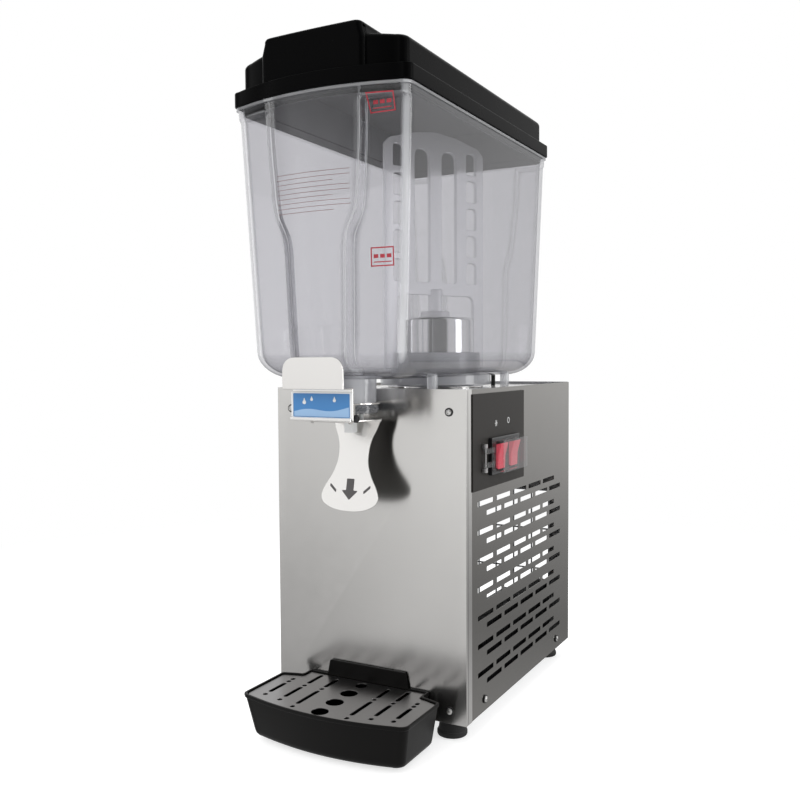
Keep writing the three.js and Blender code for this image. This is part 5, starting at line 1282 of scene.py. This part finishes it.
def tray_plan(z, inset):
    half, corner, bow = part_way(TRAY_WIDENING, (z - TRAY_FOOT) / (TRAY_RIM - TRAY_FOOT))
    w = half - inset
    reach = w - TRAY_RADIUS
    front = [(x, bowed(x, w, corner, bow - corner, inset)) for x in run(-reach, reach, 40)]
    neck = min(67.0, reach) - inset
    right = arc(reach, front.pop()[1] + TRAY_RADIUS, TRAY_RADIUS, -QUARTER, 0, 8)
    right += [(w, -22 - inset), (w - 1.2, -20 - inset), (neck + 8, -16 - inset), (neck + 1.5, -14.5 - inset)]
    right += [(neck, -12 - inset), (neck, -0.8 - inset)]
    return front + mirrored(right)[:-1]


def tray_form():
    rows = [
        (6.0, 3.0), (3.6, 3.5), (1.9, 4.8), (0.8, 7.0), (0.6, 10.0), (0.8, 40.6), (0.75, 41.0), (0.1, 41.6),
        (0, 42.0), (0, 43.9), (0.25, 44.7), (0.9, 45.0), (1.7, 45.0), (2.3, 44.7), (2.4, 44.0), (2.4, 42.0),
        (4.8, 42.0), (4.8, 9.0), (5.6, 6.6), (7.6, 5.4),
    ]
    basin = loft([level(tray_plan(z, inset), z) for inset, z in rows])
    view = rounded(
        [(-45.5, 37.8), (45.5, 37.8), (45.5, 45), (42.5, 59.5), (-42.5, 59.5), (-45.5, 45)],
        [0.5, 0.5, 3, 2.5, 2.5, 3], 5,
    )
    return joined([basin, plate(view, [], 2.4, 0.6, upright(FRONTWARD, 0, -2.0)), slab(-50, 50, -3.2, 46, 10, 14, 0.6)])


piece("black_tray", tray_form(), TRAY_BLACK, "drip_tray", angle=30)

# %% [markdown]
# ## Grille
# A steel plate covers the tray, with four round holes under the spout and lines of slots and dots at both sides.
# The holes come from a short list for one side, which is mirrored. A plate with holes is filled in one step, so
# that no cut is needed.

# %% Grille
def long_hole(x, y0, y1, radius):
    low = arc(x, y0 + radius, radius, math.pi, 2 * math.pi, 8)
    return low + arc(x, y1 - radius, radius, 0, math.pi, 8)


def grille_form():
    lines = [
        (29, (-86.6, -38.5), ((-79.8, -43.6), (-33.3, -10))), (49, (-78.5, -38.3), ((-71, -43), (-32.5, -7))),
        (69, (-74, -36.3), ((-67.5, -41.5), (-32, -26.5))),
    ]
    holes = [circle(0, y, r, 40) for y, r in ((-85.3, 8), (-60.8, 8.3), (-36, 8.3), (-13.6, 6))]
    for x, dots, slots in lines:
        for side in (-1, 1):
            holes += [long_hole(side * x, y - 2.4, y + 2.4, 2.35) for y in dots]
            holes += [long_hole(side * x, y0, y1, 2.1) for y0, y1 in slots]
    return plate(tray_plan(43.5, 3.0), holes, 1.2, 0.3, Matrix.Translation(at(0, 0, 42.9)))


piece("steel_grille", grille_form(), GRILLE_STEEL, "drip_grille")

# %% [markdown]
# ## Switches
# Two lit rockers sit in a black housing, one for cooling and one for stirring. A clear cover on a wire hinge keeps
# drops off them. These small forms are right in the solids, and rounding their edges is all that they need.

# %% Rockers, housing, cover and hinge
soft_piece("black_switch_housing", "switch_housing", 0.8, 3, GLOSS_BLACK)
soft_piece("lit_rocker_cooling", "rocker_cooling", 1.0, 3, LIT_RED)
soft_piece("lit_rocker_stirring", "rocker_stirring", 1.0, 3, LIT_RED)
soft_piece("clear_switch_cover", "switch_cover", 0.5, 2, COVER_CLEAR)
soft_piece("wire_hinge", "cover_hinge", 0.4, 2, GRILLE_STEEL)

# %% [markdown]
# ## Signs over the switches
# A star stands over the cooling switch and a ring over the stirring switch, printed white on the dark plate. Both
# are thin plates made from short lists of points.

# %% Small plain signs on the control plate: a frost star and a turning ring
def side_print(loop, holes=()):
    return plate(loop, holes, 0.2, 0.05, upright(RIGHTWARD, 106.15, 0))


def star_bar(y, z, size, angle):
    c, s = math.cos(angle), math.sin(angle)
    return side_print([(y + u * c - v * s, z + u * s + v * c) for u, v in box_loop(-size, size, -0.35, 0.35)])


ring_sign = side_print(circle(101, 296, 3, 24), [circle(101, 296, 2.2, 24)])
signs = [star_bar(69, 295, 3.2, math.pi * k / 3) for k in range(3)] + [ring_sign]
piece("plate_signs", joined(signs), MARK_WHITE, body="cabinet")

# %% [markdown]
# ## Level marks
# Two red frames on the bowl's front show the highest and the lowest level, with plain lines in them, and nine faint
# lines stand beside them. The wall leans and bows, so each bar is built in small steps along the wall. Flat bars
# would sink into it in the middle.

# %% Level marks
PROUD, SUNK = 0.12, 0.02


def front_at(x, z):
    """How far forward the bowl's front is, by straight lines between the points of its ring."""
    ring = sorted((px, py) for px, py, _ in bowl_ring(z, 0, 0) if py < 40 and abs(px) < 81)
    for (xa, ya), (xb, yb) in zip(ring, ring[1:]):
        if xa <= x <= xb and xb > xa:
            return ya + (yb - ya) * (x - xa) / (xb - xa)
    return ring[-1][1]


def wall_bar(x0, x1, z0, z1, steps=8):
    """A thin print strip that follows the curve of the bowl's front."""
    rings = []
    for x in run(x0, x1, steps):
        low, high = front_at(x, z0), front_at(x, z1)
        rings.append([(x, low - PROUD, z0), (x, low - SUNK, z0), (x, high - SUNK, z1), (x, high - PROUD, z1)])
    return loft(rings)


def framed_mark(x0, x1, z0, z1):
    w = 1.1
    bars = [wall_bar(x0, x1, z0, z0 + w), wall_bar(x0, x1, z1 - w, z1)]
    bars += [wall_bar(x0, x0 + w, z0, z1, steps=1), wall_bar(x1 - w, x1, z0, z1, steps=1)]
    lines = [(2.8, 7.2, 7.2, 3.2), (9, 13.4, 7.2, 3.2), (15.2, 19.6, 7.2, 3.2), (2.8, 19.6, 3.4, 0.9)]
    return bars + [wall_bar(x0 + a, x0 + b, z0 + h, z0 + h + t) for a, b, h, t in lines]


marks = framed_mark(54, 77.5, 565, 580.5) + framed_mark(50.5, 72.5, 437, 453.5)
piece("level_marks", joined(marks), MARK_RED, body="tank")
ticks = [wall_bar(-37, 38 if k % 3 else 22, 486 + 4.2 * k, 486.4 + 4.2 * k) for k in range(9)]
piece("faint_ticks", joined(ticks), MARK_GREY, body="tank")

# %% [markdown]
# ## Nodes that keep their own form
# The fan, the motors, the pipes and other parts inside the case are hardly seen. They keep the mesh of the solids
# and get a full material, so that a look through the slots shows nothing bare.

# %% Materials of the carried-over nodes
CARRIED = (
    (BLACK_PAINT_AND_SHADE, ("fan_shroud", "fan_motor", "compressor", "drive_magnet")), (FOAM, ("insulation_block",)),
    (COPPER, ("suction_pipe", "filter_drier", "evaporator_coil")), (BLACK, ("power_gland", "condenser_fan")),
    (ZINC, ("thermostat", "stirrer_motor", "tray_runner_left", "tray_runner_right")),
    (SILICONE, ("can_seal", "valve_seal")), (RUBBER, ("tank_buffer_left", "tank_buffer_right")),
)
for material, nodes in CARRIED:
    for holder in [frame["nodes"][node] for node in nodes]:
        if not holder.material_slots:
            holder.data.materials.append(material)
        for held in holder.material_slots:
            held.material = material
print(sum(len(nodes) for _, nodes in CARRIED), "nodes keep their own form")

# %% [markdown]
# ## Floor
# The object stands on a white floor that fades into the background, with a soft shadow under it. A floor that is
# only white paint looks grey away from the lamps, so some of its white is light of its own. Steel mirrors the floor
# as well: other rays see a floor that brightens towards the front, which gives the panels their long gradient.

# %% Floor
REACH, BELOW = 6.0, -0.0004


def brightness(tree, strength):
    return add(tree, "ShaderNodeEmission", {"Color": WHITE_LIGHT, "Strength": strength})[0]


def floor_material():
    material = bpy.data.materials.new("pale_floor")
    tree, surface = blank_tree(material, "ShaderNodeOutputMaterial")
    place = add(tree, "ShaderNodeTexCoord")["Object"]
    distance = add(tree, "ShaderNodeVectorMath", {0: place}, operation="LENGTH")["Value"]
    matt = add(tree, "ShaderNodeBsdfDiffuse", {"Color": (0.55, 0.55, 0.55, 1)})[0]
    near = add(tree, "ShaderNodeAddShader", {0: matt, 1: brightness(tree, 0.66)})[0]
    seen = mixed(tree, ramp(tree, distance, 0.35, 1.1), near, brightness(tree, 1.0))
    split = add(tree, "ShaderNodeSeparateXYZ", {0: place})
    ahead = ramp(tree, split["Y"], 0.3, -0.3, 0.26, 0.6)
    both = reckon(tree, "ADD", ahead, ramp(tree, distance, 0.3, 2.2, 0.0, 0.4))
    turn = reckon(tree, "ARCTAN2", split["X"], reckon(tree, "MULTIPLY", split["Y"], -1.0))
    final = reckon(tree, "MULTIPLY", both, ramp(tree, turn, -0.62, -0.3, 0.8, 1.15))
    camera_ray = add(tree, "ShaderNodeLightPath")["Is Camera Ray"]
    fill(tree, surface, mixed(tree, camera_ray, brightness(tree, final), seen))
    return material


sheet = bpy.data.meshes.new("floor")
corners = [(-REACH, -REACH, BELOW), (REACH, -REACH, BELOW), (REACH, REACH, BELOW), (-REACH, REACH, BELOW)]
sheet.from_pydata(corners, [], [(0, 1, 2, 3)])
sheet.materials.append(floor_material())
placed("floor", sheet)
print("floor", 2 * REACH, "m wide")

# %% [markdown]
# ## World
# The camera, mirrors and clear walls see a plain white room. Two dark bands in it are seen only in reflections:
# like the black cards beside a real photograph, they give the edges of polished steel something dark to mirror.
# Everything else gets a soft light that is stronger from above.

# %% World
BANDS = ((-1.08, 0.16), (0.6, 0.42))
FADE = 0.16


def background(tree, strength):
    return add(tree, "ShaderNodeBackground", {"Color": WHITE_LIGHT, "Strength": strength})[0]


def band(tree, turn, middle, half):
    """Dark round one direction, and white beyond it."""
    off = reckon(tree, "ABSOLUTE", reckon(tree, "SUBTRACT", turn, middle))
    return ramp(tree, off, half, half + FADE, 0.1)


world = bpy.data.worlds.new("studio")
tree, surface = blank_tree(world, "ShaderNodeOutputWorld")
split = add(tree, "ShaderNodeSeparateXYZ", {0: add(tree, "ShaderNodeTexCoord")["Generated"]})
turn = reckon(tree, "ARCTAN2", split["X"], reckon(tree, "MULTIPLY", split["Y"], -1.0))
card = reckon(tree, "MULTIPLY", ramp(tree, turn, -0.75, -0.56), ramp(tree, turn, 0.5, -0.1))
above = ramp(tree, split["Z"], -0.5, 0.9, 0.5, 1.0)
studio = background(tree, reckon(tree, "ADD", reckon(tree, "MULTIPLY", card, 0.4), above))
flags = reckon(tree, "MULTIPLY", *[band(tree, turn, *row) for row in BANDS])
path = add(tree, "ShaderNodeLightPath")
white = background(tree, reckon(tree, "MAXIMUM", flags, path["Is Camera Ray"]))
eye = reckon(tree, "MAXIMUM", path["Is Camera Ray"], path["Is Glossy Ray"])
fill(tree, surface, mixed(tree, reckon(tree, "MAXIMUM", eye, path["Is Transmission Ray"]), studio, white))
bpy.context.scene.world = world
print("world with", len(tree.nodes), "nodes and", len(BANDS), "dark bands")

# %% [markdown]
# ## Lamps
# Large soft lamps stand for the studio lights: one in front, one above and one behind on the left. Only the two
# narrow ones at the sides show in reflections, where they draw a bright line down the can. They are kept weak, so
# that a colour renders about as it is written.

# %% Lights
def area_light(name, place, target, size, watts, mirrored=False):
    data = bpy.data.lights.new(name, "AREA")
    data.shape = "RECTANGLE"
    data.size, data.size_y = size
    data.energy = watts
    light = placed(name, data)
    light.visible_glossy = mirrored
    light.location = place
    light.rotation_euler = (Vector(target) - Vector(place)).to_track_quat("-Z", "Y").to_euler()
    print("lamp", name, "of", watts, "W")


area_light("key", (-0.45, -2.1, 1.45), (0, -0.1, 0.3), (0.9, 1.2), 7)
area_light("top", (-0.2, 0.0, 2.0), (0, 0, 0.2), (1.6, 1.6), 11)
area_light("rim_left", (-1.7, 0.5, 0.9), (0, 0, 0.4), (0.6, 1.4), 5)
area_light("strip_right", (1.39, 0.3, 0.5), (0, 0.04, 0.5), (0.5, 1.3), 8.0, mirrored=True)
area_light("strip_left", (-1.1, -0.9, 0.5), (0, 0.04, 0.5), (0.13, 1.3), 1.4, mirrored=True)

# %% [markdown]
# ## Camera
# The camera was worked out from points of the photograph whose place on the object is known: corners of the case,
# of the lid and of the tray. Its place, turn and lens are typed in as found, and nothing else of the render is set.

# %% Camera
YAW, PITCH, ROLL = 0.49903, -0.0448, -0.00563
FOCAL_PIXELS, PICTURE_WIDTH, SENSOR = 892.838, 800, 36.0
away = Vector((-math.sin(YAW) * math.cos(PITCH), math.cos(YAW) * math.cos(PITCH), math.sin(PITCH)))
right = Vector((math.cos(YAW), math.sin(YAW), 0))
up = right.cross(away)
right_turned = right * math.cos(ROLL) + up * math.sin(ROLL)
up_turned = up * math.cos(ROLL) - right * math.sin(ROLL)
data = bpy.data.cameras.new("camera")
data.sensor_width = SENSOR
data.lens = FOCAL_PIXELS / PICTURE_WIDTH * SENSOR
camera = placed("camera", data)
turn = Matrix((right_turned, up_turned, -away)).transposed().to_4x4()
camera.matrix_world = Matrix.Translation(at(440.076, -739.757, 357.115)) @ turn
bpy.context.scene.camera = camera
bpy.context.scene.view_settings.view_transform = "Standard"
print("lens", round(data.lens, 2), "mm, camera", round(camera.location.length, 3), "m from the zero point")
